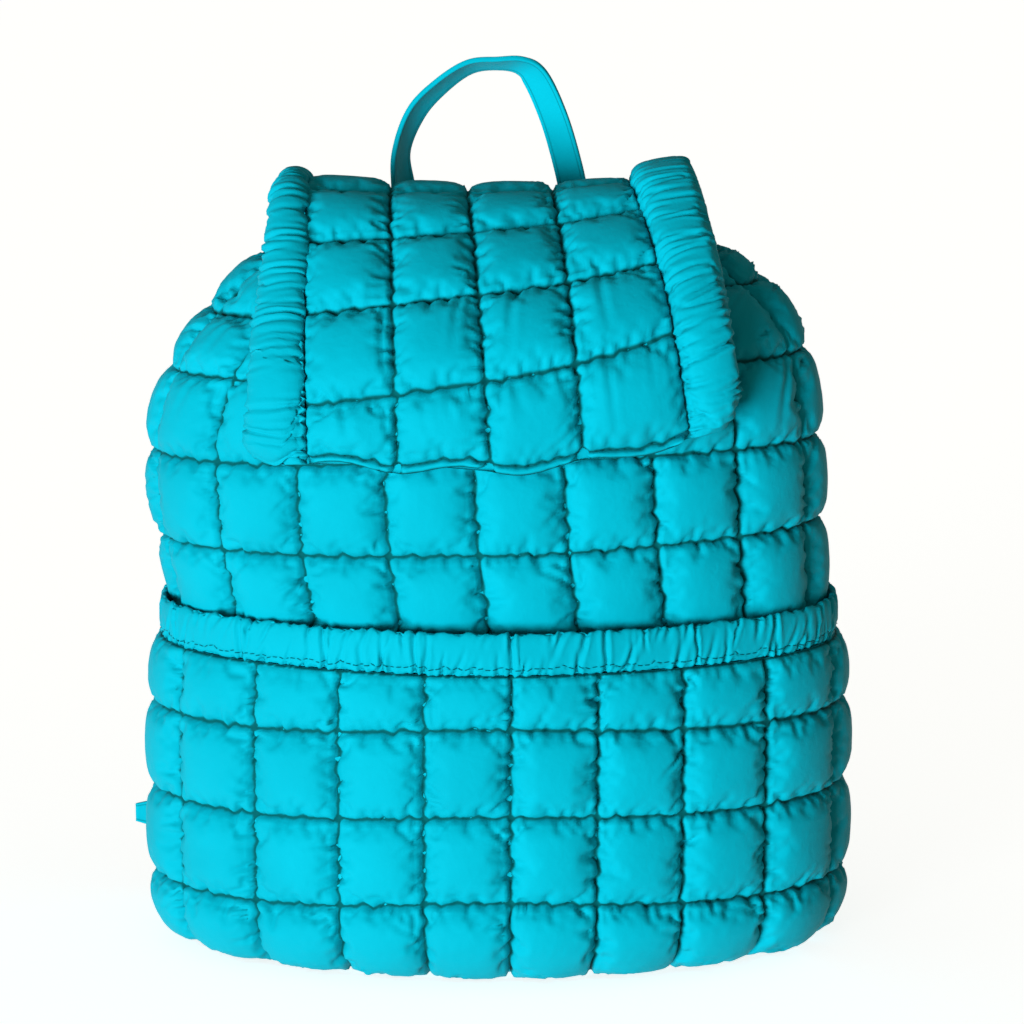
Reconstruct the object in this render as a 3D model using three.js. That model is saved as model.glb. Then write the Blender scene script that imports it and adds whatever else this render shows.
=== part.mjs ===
// A quilted puffer backpack: padded nylon cloth sewn in squares, a body gathered at its neck, a flap over
// the neck, a pocket round the front with a ruched elastic mouth, a carrying loop and two shoulder straps.
// Millimetres. +Z is up, the front faces -Y, and the origin is on the floor under the middle of the base.
import * as THREE from "three";

// The body's cloth, measured between the seams of the quilting.
const bodyHalfWidth = 158.5;
const bodyFrontDepth = 79.5;
const bodyBackDepth = 78;
const neckHeight = 344;
const backSquareness = 3.2;
const sideSeamAngle = THREE.MathUtils.degToRad(113);

// Cloth and wadding.
const wall = 2;
const seamGap = 0.3;
const sideSeamGap = 0.95;
const puffHeight = 8.5;
const backPuffHeight = 6;
const quiltPitch = 42.8;
const quiltOffset = -4.5;
const backQuiltPitch = 44;
const sideColumn = 26;
const sideFullness = 0.4;

// The base.
const baseSeamHeight = 7;
const basePuffHeight = 5;
const baseColumns = 7;
const baseRows = 3;

// The pocket.
const pocketSideRoom = 9.5;
const pocketFrontRoom = 14.5;
const pocketSeamGap = 1.1;
const pocketQuiltPitch = 45.5;
const pocketQuiltOffset = 7;
const pocketMouthHeight = 178;
const pocketCasingHeight = 22;
const pocketCasingThickness = 5.4;
const pocketSideRun = 50;
const gatherPitch = 7.6;
const gatherDepth = 0.9;

// The neck's casing.
const neckCasingHeight = 18;
const neckCasingThickness = 8;
const neckCasingSink = 8;

// The flap.
const flapHalfWidth = 118;
const flapCrestHeight = 372;
const flapFrontReach = 92.5;
const flapBackReach = 87;
const flapPuffHeight = 8;
const flapLength = 277;
const bindingThickness = 11;
const bindingSeamGap = 0.45;

// The carrying loop.
const loopWidth = 15;
const loopThickness = 2.5;
const loopHalfSpan = 49;
const loopTopHeight = 433;
const loopRootHeight = 318;

// The shoulder straps.
const strapTopHeight = 314;
const strapSpacing = 60;
const padWidth = 48;
const padThickness = 10;
const padFootHeight = 150;
const strapBow = 48;
const webWidth = 22;
const webThickness = 2;
const sliderLength = 18;
const sliderThickness = 3;
const sliderMargin = 4;
const tabLength = 58;
const tabHeight = 40;
const tabTipHeight = 9.6;
const tabCentreHeight = 40;
const tabSwingLeft = THREE.MathUtils.degToRad(12);
const tabSwingRight = THREE.MathUtils.degToRad(38);

// Level sections of the body's cloth from the base seam up to the neck seam: how far up the cloth, the share
// of the neck's height, the shares of the half width and of the front and back depths, the shift to the
// back as a share of the front depth, and the lean to the right as a share of the half width.
const bodySections = [
  { along: 0.000, height: 0.000, width: 0.965, front: 0.950, back: 0.955, shift: 0.00, lean: 0.000 },
  { along: 0.010, height: 0.008, width: 0.984, front: 0.978, back: 0.980, shift: 0.00, lean: 0.000 },
  { along: 0.030, height: 0.030, width: 0.995, front: 0.995, back: 0.995, shift: 0.00, lean: 0.000 },
  { along: 0.072, height: 0.082, width: 1.000, front: 1.000, back: 1.000, shift: 0.00, lean: 0.000 },
  { along: 0.250, height: 0.286, width: 1.000, front: 1.000, back: 1.000, shift: 0.00, lean: 0.000 },
  { along: 0.440, height: 0.504, width: 1.000, front: 1.000, back: 1.000, shift: 0.00, lean: 0.000 },
  { along: 0.528, height: 0.605, width: 1.015, front: 1.005, back: 1.000, shift: 0.00, lean: -0.020 },
  { along: 0.650, height: 0.743, width: 1.012, front: 0.990, back: 1.000, shift: 0.00, lean: -0.030 },
  { along: 0.735, height: 0.841, width: 0.975, front: 0.950, back: 0.985, shift: 0.01, lean: -0.024 },
  { along: 0.773, height: 0.879, width: 0.940, front: 0.878, back: 0.970, shift: 0.03, lean: -0.010 },
  { along: 0.830, height: 0.932, width: 0.865, front: 0.704, back: 0.900, shift: 0.10, lean: 0.002 },
  { along: 0.892, height: 0.976, width: 0.770, front: 0.570, back: 0.750, shift: 0.19, lean: 0.000 },
  { along: 0.933, height: 0.998, width: 0.690, front: 0.500, back: 0.630, shift: 0.25, lean: 0.000 },
  { along: 0.964, height: 1.004, width: 0.610, front: 0.475, back: 0.540, shift: 0.28, lean: 0.000 },
  { along: 1.000, height: 1.000, width: 0.525, front: 0.450, back: 0.460, shift: 0.30, lean: 0.000 },
];

// The level seams of the body: how far up the cloth they run at the front, how much higher or lower at the
// left and right sides, and how full the row above each is.
const bodyRows = [
  { along: 0.000, left: 0.000, right: 0.000, full: 0.0 },
  { along: 0.010, left: 0.000, right: 0.000, full: 0.0 },
  { along: 0.030, left: 0.000, right: 0.000, full: 0.0 },
  { along: 0.072, left: 0.000, right: 0.000, full: 0.0 },
  { along: 0.443, left: 0.000, right: 0.000, full: 1.0 },
  { along: 0.528, left: -0.010, right: 0.012, full: 1.0 },
  { along: 0.649, left: -0.020, right: 0.000, full: 1.0 },
  { along: 0.750, left: -0.017, right: 0.010, full: 0.9 },
  { along: 0.850, left: -0.035, right: 0.020, full: 0.8 },
  { along: 0.930, left: -0.010, right: 0.005, full: 0.5 },
  { along: 1.000, left: 0.000, right: 0.000, full: 0.0 },
];
const pocketRows = [
  { along: 0.0000, left: 0.000, right: 0.000, full: 1.30 },
  { along: 0.0977, left: -0.024, right: -0.020, full: 1.05 },
  { along: 0.2080, left: -0.020, right: -0.012, full: 1.00 },
  { along: 0.3196, left: -0.020, right: -0.016, full: 0.80 },
  { along: 0.3870, left: 0.000, right: 0.000, full: 0.00 },
];
const backRows = [0, 0.12, 0.24, 0.36, 0.48, 0.6, 0.72, 0.83, 0.92, 1];

// The flap's middle line from its hem over the fold to its root: how far along, the shares of the front or
// back reach and of the crest's height, and what the left and right sides gain in depth and in height.
const flapSections = [
  { along: 0.000, reach: -1.000, height: 0.692, sag: 22, left: -4, right: 17 },
  { along: 0.108, reach: -0.965, height: 0.772, sag: 22.5, left: -8, right: 16 },
  { along: 0.185, reach: -0.880, height: 0.827, sag: 23, left: -8, right: 16 },
  { along: 0.270, reach: -0.705, height: 0.878, sag: 22, left: -7, right: 15 },
  { along: 0.352, reach: -0.510, height: 0.917, sag: 15, left: -5, right: 13 },
  { along: 0.432, reach: -0.310, height: 0.950, sag: 9, left: -1, right: 11 },
  { along: 0.520, reach: -0.075, height: 0.980, sag: 3, left: 4, right: 11 },
  { along: 0.600, reach: 0.160, height: 0.997, sag: 0, left: 7, right: 12 },
  { along: 0.690, reach: 0.430, height: 1.000, sag: 0, left: 7, right: 10 },
  { along: 0.770, reach: 0.680, height: 0.988, sag: -1, left: 5, right: 7 },
  { along: 0.840, reach: 0.870, height: 0.965, sag: -3, left: 2, right: 3 },
  { along: 0.900, reach: 0.965, height: 0.932, sag: -5, left: 0, right: 0 },
  { along: 0.950, reach: 1.000, height: 0.900, sag: -6, left: 0, right: 0 },
  { along: 1.000, reach: 0.995, height: 0.862, sag: -6, left: 0, right: 0 },
];
// The flap's long seams, from its left edge to its right one, as shares of its half width at the hem and
// at the fold.
const flapLines = [
  { hem: -1.030, fold: -0.930 },
  { hem: -0.755, fold: -0.800 },
  { hem: -0.395, fold: -0.450 },
  { hem: -0.025, fold: -0.127 },
  { hem: 0.344, fold: 0.229 },
  { hem: 0.771, fold: 0.560 },
  { hem: 0.985, fold: 0.845 },
];
const flapFold = 0.6;
// The flap's cross seams, as shares of its length from the hem, what they gain towards the right edge, and
// how full the row above each is.
const flapRows = [
  { along: 0.000, rise: 0.000, full: 0.3 },
  { along: 0.018, rise: 0.000, full: 1.0 },
  { along: 0.108, rise: 0.079, full: 1.0 },
  { along: 0.271, rise: 0.079, full: 1.0 },
  { along: 0.433, rise: 0.079, full: 0.9 },
  { along: 0.596, rise: 0.043, full: 0.7 },
  { along: 0.758, rise: 0.014, full: 0.9 },
  { along: 0.921, rise: 0.000, full: 0.3 },
  { along: 1.000, rise: 0.000, full: 0.0 },
];

// The carrying loop from its left root to its right one: shares of the half span and of the height from
// root to top, the distance behind the middle plane as a share of the flap's reach to the back, and the
// turn of the strip about its own line, in degrees.
const loopSections = [
  { across: -0.96, rise: 0.000, behind: 0.985, turn: 0 },
  { across: -0.96, rise: 0.022, behind: 1.040, turn: 0 },
  { across: -0.97, rise: 0.070, behind: 1.085, turn: 5 },
  { across: -0.98, rise: 0.230, behind: 1.110, turn: 15 },
  { across: -1.00, rise: 0.420, behind: 1.080, turn: 40 },
  { across: -1.02, rise: 0.600, behind: 1.010, turn: 60 },
  { across: -0.86, rise: 0.780, behind: 0.970, turn: 55 },
  { across: -0.60, rise: 0.900, behind: 0.950, turn: 60 },
  { across: -0.30, rise: 0.985, behind: 0.940, turn: 65 },
  { across: 0.00, rise: 1.000, behind: 0.940, turn: 68 },
  { across: 0.24, rise: 0.990, behind: 0.940, turn: 55 },
  { across: 0.40, rise: 0.930, behind: 0.940, turn: 30 },
  { across: 0.58, rise: 0.760, behind: 0.950, turn: 20 },
  { across: 0.72, rise: 0.560, behind: 0.990, turn: 15 },
  { across: 0.80, rise: 0.400, behind: 1.060, turn: 10 },
  { across: 0.86, rise: 0.220, behind: 1.110, turn: 8 },
  { across: 0.90, rise: 0.070, behind: 1.085, turn: 4 },
  { across: 0.92, rise: 0.022, behind: 1.040, turn: 0 },
  { across: 0.92, rise: 0.000, behind: 0.985, turn: 0 },
];

// A shoulder pad from its top seam to its foot: the share of the drop, of the bow away from the back, and
// of the outward spread.
const padSections = [
  { drop: 0.00, bow: 0.000, spread: 0.00 },
  { drop: 0.04, bow: 0.130, spread: 0.00 },
  { drop: 0.12, bow: 0.380, spread: 0.02 },
  { drop: 0.25, bow: 0.700, spread: 0.08 },
  { drop: 0.42, bow: 0.950, spread: 0.22 },
  { drop: 0.60, bow: 1.000, spread: 0.42 },
  { drop: 0.80, bow: 0.930, spread: 0.70 },
  { drop: 1.00, bow: 0.800, spread: 1.00 },
];
const padSpread = 32;

// A quilted square's grid, as shares of its side, and the height of its pillow there.
const fineSteps = [
  { at: 0, rise: 0 },
  { at: 0.14, rise: 0.66 },
  { at: 0.5, rise: 1 },
  { at: 0.86, rise: 0.66 },
  { at: 1, rise: 0 },
];
const plainSteps = [{ at: 0, rise: 0 }, { at: 0.24, rise: 1 }, { at: 0.76, rise: 1 }, { at: 1, rise: 0 }];
const insideSteps = [{ at: 0, rise: 0 }, { at: 0.5, rise: 1 }, { at: 1, rise: 0 }];
const flatSteps = [{ at: 0, rise: 0 }, { at: 1, rise: 0 }];
const shoulderAlong = 0.7;
const insideStepsFrom = (along) => (along > shoulderAlong ? insideSteps : flatSteps);

const cloth = { color: 0x0ea6b4, roughness: 0.55, metalness: 0 };
const shadedCloth = { color: 0x0b8d99, roughness: 0.6, metalness: 0 };
const tape = { color: 0x0c97a6, roughness: 0.7, metalness: 0 };
const moulding = { color: 0x0a6f78, roughness: 0.45, metalness: 0 };

const bag = new THREE.Group();

function addMesh(name, points, faces, look) {
  let volume = 0;
  const edge = new THREE.Vector3();
  for (const [a, b, c] of faces) {
    volume += points[a].dot(edge.crossVectors(points[b], points[c]));
  }
  const turned = volume < 0 ? faces.map(([a, b, c]) => [a, c, b]) : faces;
  const geometry = new THREE.BufferGeometry();
  geometry.setAttribute("position", new THREE.Float32BufferAttribute(points.flatMap((p) => p.toArray()), 3));
  geometry.setIndex(turned.flat());
  geometry.computeVertexNormals();
  const mesh = new THREE.Mesh(geometry, new THREE.MeshStandardMaterial(look));
  mesh.name = name;
  bag.add(mesh);
}

// A value from a table of sections, on a smooth curve through its rows.
function between(table, key, along) {
  const at = Math.min(Math.max(along, 0), 1);
  let row = 0;
  while (row < table.length - 2 && at > table[row + 1].along) {
    row += 1;
  }
  const slope = (i) => {
    const low = table[Math.max(i - 1, 0)];
    const high = table[Math.min(i + 1, table.length - 1)];
    return (high[key] - low[key]) / (high.along - low.along);
  };
  const [first, last] = [table[row], table[row + 1]];
  const span = last.along - first.along;
  const t = (at - first.along) / span;
  const keepFirst = (1 + 2 * t) * (1 - t) ** 2;
  const leaveFirst = t * (1 - t) ** 2 * span;
  const reachLast = -(t ** 2) * (1 - t) * span;
  return keepFirst * first[key] + (1 - keepFirst) * last[key]
    + leaveFirst * slope(row) + reachLast * slope(row + 1);
}

// A point of a level ring: angle 0 is the front centre, and angles grow towards +X and round the back.
function ringPoint(angle, halfWidth, front, back, shift, height) {
  const behind = Math.cos(angle) < 0;
  const power = behind ? backSquareness : 2;
  const sideways = Math.abs(Math.sin(angle)) / halfWidth;
  const endways = Math.abs(Math.cos(angle)) / (behind ? back : front);
  const radius = (sideways ** power + endways ** power) ** (-1 / power);
  return new THREE.Vector3(radius * Math.sin(angle), shift - radius * Math.cos(angle), height);
}

function bodySurface(angle, along) {
  const lean = bodyHalfWidth * between(bodySections, "lean", along);
  const point = ringPoint(
    angle,
    bodyHalfWidth * between(bodySections, "width", along),
    bodyFrontDepth * between(bodySections, "front", along),
    bodyBackDepth * between(bodySections, "back", along),
    bodyFrontDepth * between(bodySections, "shift", along),
    baseSeamHeight + (neckHeight - baseSeamHeight) * between(bodySections, "height", along),
  );
  return point.setX(point.x + lean);
}

function normalAt(surface, u, v) {
  const step = 0.002;
  const across = surface(u + step, v).sub(surface(u - step, v));
  const upwards = surface(u, Math.min(v + step, 1)).sub(surface(u, Math.max(v - step, 0)));
  return across.cross(upwards).normalize();
}

// The angles of lines that stand a given length of cloth from the front centre of a level ring.
function clothAngles(layer) {
  const ring = (angle) => ringPoint(
    angle, bodyHalfWidth + layer, bodyFrontDepth + layer, bodyBackDepth + layer, 0, 0,
  );
  const count = 720;
  const lengths = [0];
  for (let i = 1; i <= count; i += 1) {
    const chord = ring((Math.PI * i) / count).distanceTo(ring((Math.PI * (i - 1)) / count));
    lengths.push(lengths[i - 1] + chord);
  }
  const angleAt = (length) => {
    const aim = Math.min(Math.abs(length), lengths[count]);
    let i = 1;
    while (i < count && lengths[i] < aim) {
      i += 1;
    }
    const share = (aim - lengths[i - 1]) / (lengths[i] - lengths[i - 1]);
    return Math.sign(length) * (Math.PI * (i - 1 + share)) / count;
  };
  const seamLength = lengths[Math.round((sideSeamAngle / Math.PI) * count)];
  return { angleAt, seamLength, half: lengths[count] };
}

// Seam lines a pitch apart between two ends, with one column of a given width at either end.
function seamLines(pitch, offset, end, endColumn) {
  const limit = end - endColumn;
  const sliver = 0.35 * pitch;
  const lines = [-end, -limit];
  const first = offset - pitch * Math.floor((offset + limit - sliver) / pitch);
  for (let line = first; line < limit - sliver; line += pitch) {
    lines.push(line);
  }
  lines.push(limit, end);
  return lines;
}

// The grid points between seam lines: the place, and the pillow's share of its full height there.
function gridLines(count, stepsOf) {
  const lines = [];
  for (let cell = 0; cell < count; cell += 1) {
    const steps = stepsOf(cell);
    for (const { at, rise } of lines.length === 0 ? steps : steps.slice(1)) {
      lines.push({ cell, at, rise, place: cell + at });
    }
  }
  return lines;
}

// Joins two rows of points that run side by side, each with its places along the way.
function zip(faces, outer, inner, outwardFirst) {
  let i = 0;
  let j = 0;
  while (i < outer.length - 1 || j < inner.length - 1) {
    const stepOuter = j === inner.length - 1
      || (i < outer.length - 1 && outer[i + 1].place <= inner[j + 1].place);
    const face = stepOuter
      ? [outer[i].index, inner[j].index, outer[i + 1].index]
      : [outer[i].index, inner[j].index, inner[j + 1].index];
    faces.push(outwardFirst ? face : [face[0], face[2], face[1]]);
    if (stepOuter) {
      i += 1;
    } else {
      j += 1;
    }
  }
}

// A quilted panel: pillows on its outer face between the seam lines, a plain inner face, and thin edges.
// columns are places along u, rows are functions of u, and both are seams.
function quiltedPanel(name, look, surface, columns, rows, options) {
  const { height, fullness, across, upwards, insideUpwards = () => insideSteps } = options;
  const { endFullness = 1, insideRise = 0 } = options;
  const normal = options.normal ?? ((u, v) => normalAt(surface, u, v));
  const points = [];
  const faces = [];
  const columnAt = (line) => columns[line.cell] + (columns[line.cell + 1] - columns[line.cell]) * line.at;
  const rowAt = (line, u) => rows[line.cell](u) + (rows[line.cell + 1](u) - rows[line.cell](u)) * line.at;
  const layGrid = (columnLines, rowLines, depthAt) => rowLines.map((rowLine) => columnLines.map((line) => {
    const u = columnAt(line);
    const v = rowAt(rowLine, u);
    const depth = depthAt(line, rowLine);
    points.push(surface(u, v).addScaledVector(normal(u, v), depth));
    return points.length - 1;
  }));
  const outerColumns = gridLines(columns.length - 1, () => across);
  const outerRows = gridLines(rows.length - 1, (row) => (fullness[row] > 0 ? upwards : flatSteps));
  const innerColumns = gridLines(columns.length - 1, () => insideSteps);
  const innerRows = gridLines(rows.length - 1, (row) => (fullness[row] > 0 ? insideUpwards(row) : flatSteps));
  const lastColumn = columns.length - 2;
  const columnFullness = (cell) => (cell === 0 || cell === lastColumn ? endFullness : 1);
  const outer = layGrid(outerColumns, outerRows, (c, r) => (
    height * fullness[r.cell] * columnFullness(c.cell) * c.rise * r.rise));
  const inner = layGrid(innerColumns, innerRows, (c, r) => -wall - insideRise * c.rise * r.rise);
  const cover = (grid, outwards) => {
    for (let j = 0; j < grid.length - 1; j += 1) {
      for (let i = 0; i < grid[j].length - 1; i += 1) {
        const [a, b, c, d] = [grid[j][i], grid[j][i + 1], grid[j + 1][i + 1], grid[j + 1][i]];
        faces.push(...(outwards ? [[a, b, c], [a, c, d]] : [[a, c, b], [a, d, c]]));
      }
    }
  };
  cover(outer, true);
  cover(inner, false);
  const rowEdge = (grid, lines, row) => lines.map((line, i) => ({ place: line.place, index: grid[row][i] }));
  const columnEdge = (grid, lines, end) => lines.map((line, j) => ({
    place: line.place, index: grid[j][end ? grid[j].length - 1 : 0],
  }));
  zip(faces, rowEdge(outer, outerColumns, 0), rowEdge(inner, innerColumns, 0), true);
  zip(
    faces,
    rowEdge(outer, outerColumns, outer.length - 1),
    rowEdge(inner, innerColumns, inner.length - 1),
    false,
  );
  zip(faces, columnEdge(outer, outerRows, false), columnEdge(inner, innerRows, false), false);
  zip(faces, columnEdge(outer, outerRows, true), columnEdge(inner, innerRows, true), true);
  addMesh(name, points, faces, look);
}

// A bar through a row of like sections, closed to a ring or capped at both ends.
function bar(name, look, sections, closed) {
  const points = sections.flat();
  const sides = sections[0].length;
  const faces = [];
  const last = closed ? sections.length : sections.length - 1;
  for (let i = 0; i < last; i += 1) {
    const here = i * sides;
    const next = ((i + 1) % sections.length) * sides;
    for (let k = 0; k < sides; k += 1) {
      const other = (k + 1) % sides;
      faces.push([here + k, next + k, next + other], [here + k, next + other, here + other]);
    }
  }
  if (!closed) {
    const end = (sections.length - 1) * sides;
    for (let k = 1; k < sides - 1; k += 1) {
      faces.push([0, k, k + 1], [end, end + k + 1, end + k]);
    }
  }
  addMesh(name, points, faces, look);
}

// The body's front and sides, with a quilted upper part and a plain wall behind the pocket.
const rowLine = (row) => (angle) => {
  const side = Math.sin(angle) ** 2 * (angle < 0 ? row.left : row.right);
  return row.along + side;
};
const bodyCloth = clothAngles(0);
const halfSeam = sideSeamGap / 2;
const bodyColumns = seamLines(quiltPitch, quiltOffset, bodyCloth.seamLength - halfSeam, sideColumn);
quiltedPanel(
  "body_front",
  cloth,
  bodySurface,
  bodyColumns.map(bodyCloth.angleAt),
  bodyRows.map(rowLine),
  {
    height: puffHeight,
    fullness: bodyRows.map((row) => row.full),
    endFullness: sideFullness,
    across: fineSteps,
    upwards: plainSteps,
    insideUpwards: (row) => insideStepsFrom(bodyRows[row].along),
  },
);

// The back, from side seam to side seam.
const backHalf = bodyCloth.half - bodyCloth.seamLength - halfSeam;
const backAngle = (length) => (length < 0
  ? bodyCloth.angleAt(bodyCloth.half + length)
  : 2 * Math.PI - bodyCloth.angleAt(bodyCloth.half - length));
quiltedPanel(
  "back_panel",
  shadedCloth,
  bodySurface,
  seamLines(backQuiltPitch, 0, backHalf, sideColumn).map(backAngle),
  backRows.map((along) => () => along),
  {
    height: backPuffHeight,
    fullness: backRows.map(() => 1),
    endFullness: sideFullness,
    across: plainSteps,
    upwards: plainSteps,
    insideUpwards: (row) => insideStepsFrom(backRows[row]),
  },
);

// The base: a square grid bent to the outline of the base seam, pressed flat where it stands.
const baseFace = baseSeamHeight - seamGap - wall;
function baseSurface(u, v) {
  const across = -u * Math.sqrt(1 - (v * v) / 2);
  const endways = v * Math.sqrt(1 - (u * u) / 2);
  const depth = v < 0 ? bodyFrontDepth : bodyBackDepth;
  const rim = bodySurface(Math.atan2(across * bodyHalfWidth, -endways * depth), 0);
  return rim.multiplyScalar(Math.hypot(across, endways)).setZ(baseFace);
}
const shares = (count) => Array.from({ length: count + 1 }, (_, i) => (2 * i) / count - 1);
quiltedPanel(
  "base_panel",
  shadedCloth,
  baseSurface,
  shares(baseColumns),
  shares(baseRows).map((share) => () => share),
  {
    height: baseFace,
    fullness: shares(baseRows).map(() => 1),
    across: plainSteps,
    upwards: plainSteps,
    insideRise: basePuffHeight,
    normal: () => new THREE.Vector3(0, 0, -1),
  },
);

// The pocket's cloth stands off the body by its room, which closes at the base and at the side seams.
const rounding = (share) => 1 - (1 - Math.min(Math.max(share, 0), 1)) ** 2;
const pocketCloth = clothAngles(pocketSeamGap + wall + pocketSideRoom);
const alongStep = 0.0005;
const alongAt = (height) => {
  let along = 0;
  while (along < 1 && bodySurface(0, along).z < height) {
    along += alongStep;
  }
  return along;
};
const mouthAlong = alongAt(pocketMouthHeight);
const casingAlong = alongAt(pocketMouthHeight - pocketCasingHeight);
const bottomRoundAlong = bodySections[3].along;
function pocketSurface(angle, along) {
  const sideShare = ((sideSeamAngle - Math.abs(angle)) * bodyHalfWidth) / pocketSideRun;
  const facing = Math.max(Math.cos(angle), 0) ** 2;
  const fullRoom = pocketSideRoom + (pocketFrontRoom - pocketSideRoom) * facing;
  const room = fullRoom * rounding(along / bottomRoundAlong) * rounding(sideShare);
  return bodySurface(angle, along)
    .addScaledVector(normalAt(bodySurface, angle, along), pocketSeamGap + wall + room);
}
const pocketTop = pocketRows[pocketRows.length - 1].along;
const pocketRowLine = (row) => (angle) => (rowLine(row)(angle) / pocketTop) * casingAlong;
const pocketColumns = seamLines(
  pocketQuiltPitch, pocketQuiltOffset, pocketCloth.seamLength - halfSeam, sideColumn,
).map(pocketCloth.angleAt);
quiltedPanel(
  "front_pocket",
  cloth,
  pocketSurface,
  pocketColumns,
  pocketRows.map(pocketRowLine),
  {
    height: puffHeight,
    fullness: pocketRows.map((row) => row.full),
    endFullness: sideFullness,
    across: fineSteps,
    upwards: plainSteps,
    insideUpwards: () => plainSteps,
  },
);

// The ruched casing along the pocket's mouth: a flat tube of cloth over elastic.
const roundSides = 6;
const casingLift = seamGap / (pocketMouthHeight - pocketCasingHeight);
const casingStart = casingAlong * (1 + casingLift);
const casingMiddle = (casingStart + mouthAlong) / 2;
const casingHalfHeight = (pocketSurface(0, mouthAlong).z - pocketSurface(0, casingStart).z) / 2;
const casingSteps = 2 * Math.round(pocketCloth.seamLength / gatherPitch);
const pocketCasing = Array.from({ length: casingSteps + 1 }, (_, i) => {
  const share = (2 * i) / casingSteps - 1;
  const angle = pocketCloth.angleAt(share * (pocketCloth.seamLength - halfSeam));
  const middle = pocketSurface(angle, casingMiddle);
  const normal = normalAt(pocketSurface, angle, casingMiddle);
  const half = pocketCasingThickness / 2 - (i % 2) * gatherDepth;
  return Array.from({ length: roundSides }, (_, k) => {
    const turn = (2 * Math.PI * (k + 0.5)) / roundSides;
    const out = Math.cos(turn) / Math.cos(Math.PI / roundSides);
    const lean = (i % 2) * 0.5 * gatherDepth;
    return middle.clone()
      .addScaledVector(normal, pocketCasingThickness / 2 - wall + half * out)
      .add(new THREE.Vector3(0, 0, (casingHalfHeight - lean) * Math.sin(turn)));
  });
});
bar("pocket_casing", cloth, pocketCasing, false);

// The gathered casing that stands in the body's neck, its outer side against the neck's edge.
const neckSteps = 40;
const neckCasing = Array.from({ length: neckSteps }, (_, i) => {
  const angle = (2 * Math.PI * i) / neckSteps;
  const edge = bodySurface(angle, 1);
  const centre = new THREE.Vector3(0, bodyFrontDepth * between(bodySections, "shift", 1), edge.z);
  const outwards = edge.clone().sub(centre).normalize();
  const half = neckCasingThickness / 2 - (i % 2) * gatherDepth;
  return Array.from({ length: roundSides }, (_, k) => {
    const turn = (2 * Math.PI * (k + 0.5)) / roundSides;
    const out = Math.cos(turn) / Math.cos(Math.PI / roundSides);
    const up = neckCasingHeight / 2 - neckCasingSink + (neckCasingHeight / 2) * Math.sin(turn);
    return edge.clone()
      .addScaledVector(outwards, -seamGap - neckCasingThickness / 2 + half * out - wall / 2)
      .add(new THREE.Vector3(0, 0, up));
  });
});
bar("neck_casing", shadedCloth, neckCasing, true);

// The flap's surface: u counts its long seams from the left edge, v runs from the hem to the root.
function flapSurface(u, v) {
  const cell = Math.min(Math.max(Math.floor(u), 0), flapLines.length - 2);
  const lineAt = (key) => flapLines[cell][key] + (flapLines[cell + 1][key] - flapLines[cell][key]) * (u - cell);
  const toFold = Math.min(Math.max(v / flapFold, 0), 1);
  const across = lineAt("hem") + (lineAt("fold") - lineAt("hem")) * toFold;
  const side = across * across;
  const reach = between(flapSections, "reach", v);
  const middle = reach * (reach < 0 ? flapFrontReach : flapBackReach);
  const lift = between(flapSections, across < 0 ? "left" : "right", v);
  return new THREE.Vector3(
    across * flapHalfWidth,
    middle + between(flapSections, "sag", v) * side,
    flapCrestHeight * between(flapSections, "height", v) + lift * side,
  );
}
const flapQuilted = flapLines.slice(1, -1).map((_, line) => line + 1);
quiltedPanel(
  "flap",
  cloth,
  flapSurface,
  flapQuilted,
  flapRows.map(({ along, rise }) => (u) => along + rise * ((u - 1) / (flapQuilted.length - 1)) ** 1.4),
  {
    height: flapPuffHeight,
    fullness: flapRows.map((row) => row.full),
    across: fineSteps,
    upwards: plainSteps,
  },
);

// The ruched bindings along the flap's sides.
const bindingSection = [
  { out: 0.00, up: 0.00 },
  { out: 0.22, up: 0.80 },
  { out: 0.68, up: 1.00 },
  { out: 1.00, up: 0.30 },
  { out: 0.80, up: -0.25 },
  { out: 0.00, up: -0.18 },
];
const bindingSteps = 2 * Math.round(flapLength / (2 * gatherPitch));
function flapBinding(name, seam, edge) {
  const rings = Array.from({ length: bindingSteps + 1 }, (_, i) => {
    const v = i / bindingSteps;
    const start = flapSurface(seam, v);
    const reach = start.distanceTo(flapSurface(edge, v));
    const gathered = (i % 2) * gatherDepth;
    return bindingSection.map(({ out, up }) => {
      const share = (bindingSeamGap + out * (reach - bindingSeamGap - gathered)) / reach;
      const u = seam + (edge - seam) * share;
      const rise = up * (bindingThickness - (up > 0 ? gathered : 0));
      return flapSurface(u, v).addScaledVector(normalAt(flapSurface, u, v), rise);
    });
  });
  bar(name, cloth, rings, false);
}
flapBinding("flap_binding_left", 1, 0);
flapBinding("flap_binding_right", flapLines.length - 2, flapLines.length - 1);

// A flat strip along a row of frames, each with a place, a direction of its width and of its thickness.
function strip(name, look, frames, width, thickness) {
  const rings = frames.map(({ place, wide, thick }) => [[-1, -1], [1, -1], [1, 1], [-1, 1]].map(([a, b]) => (
    place.clone().addScaledVector(wide, (a * width) / 2).addScaledVector(thick, (b * thickness) / 2))));
  bar(name, look, rings, false);
}

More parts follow.
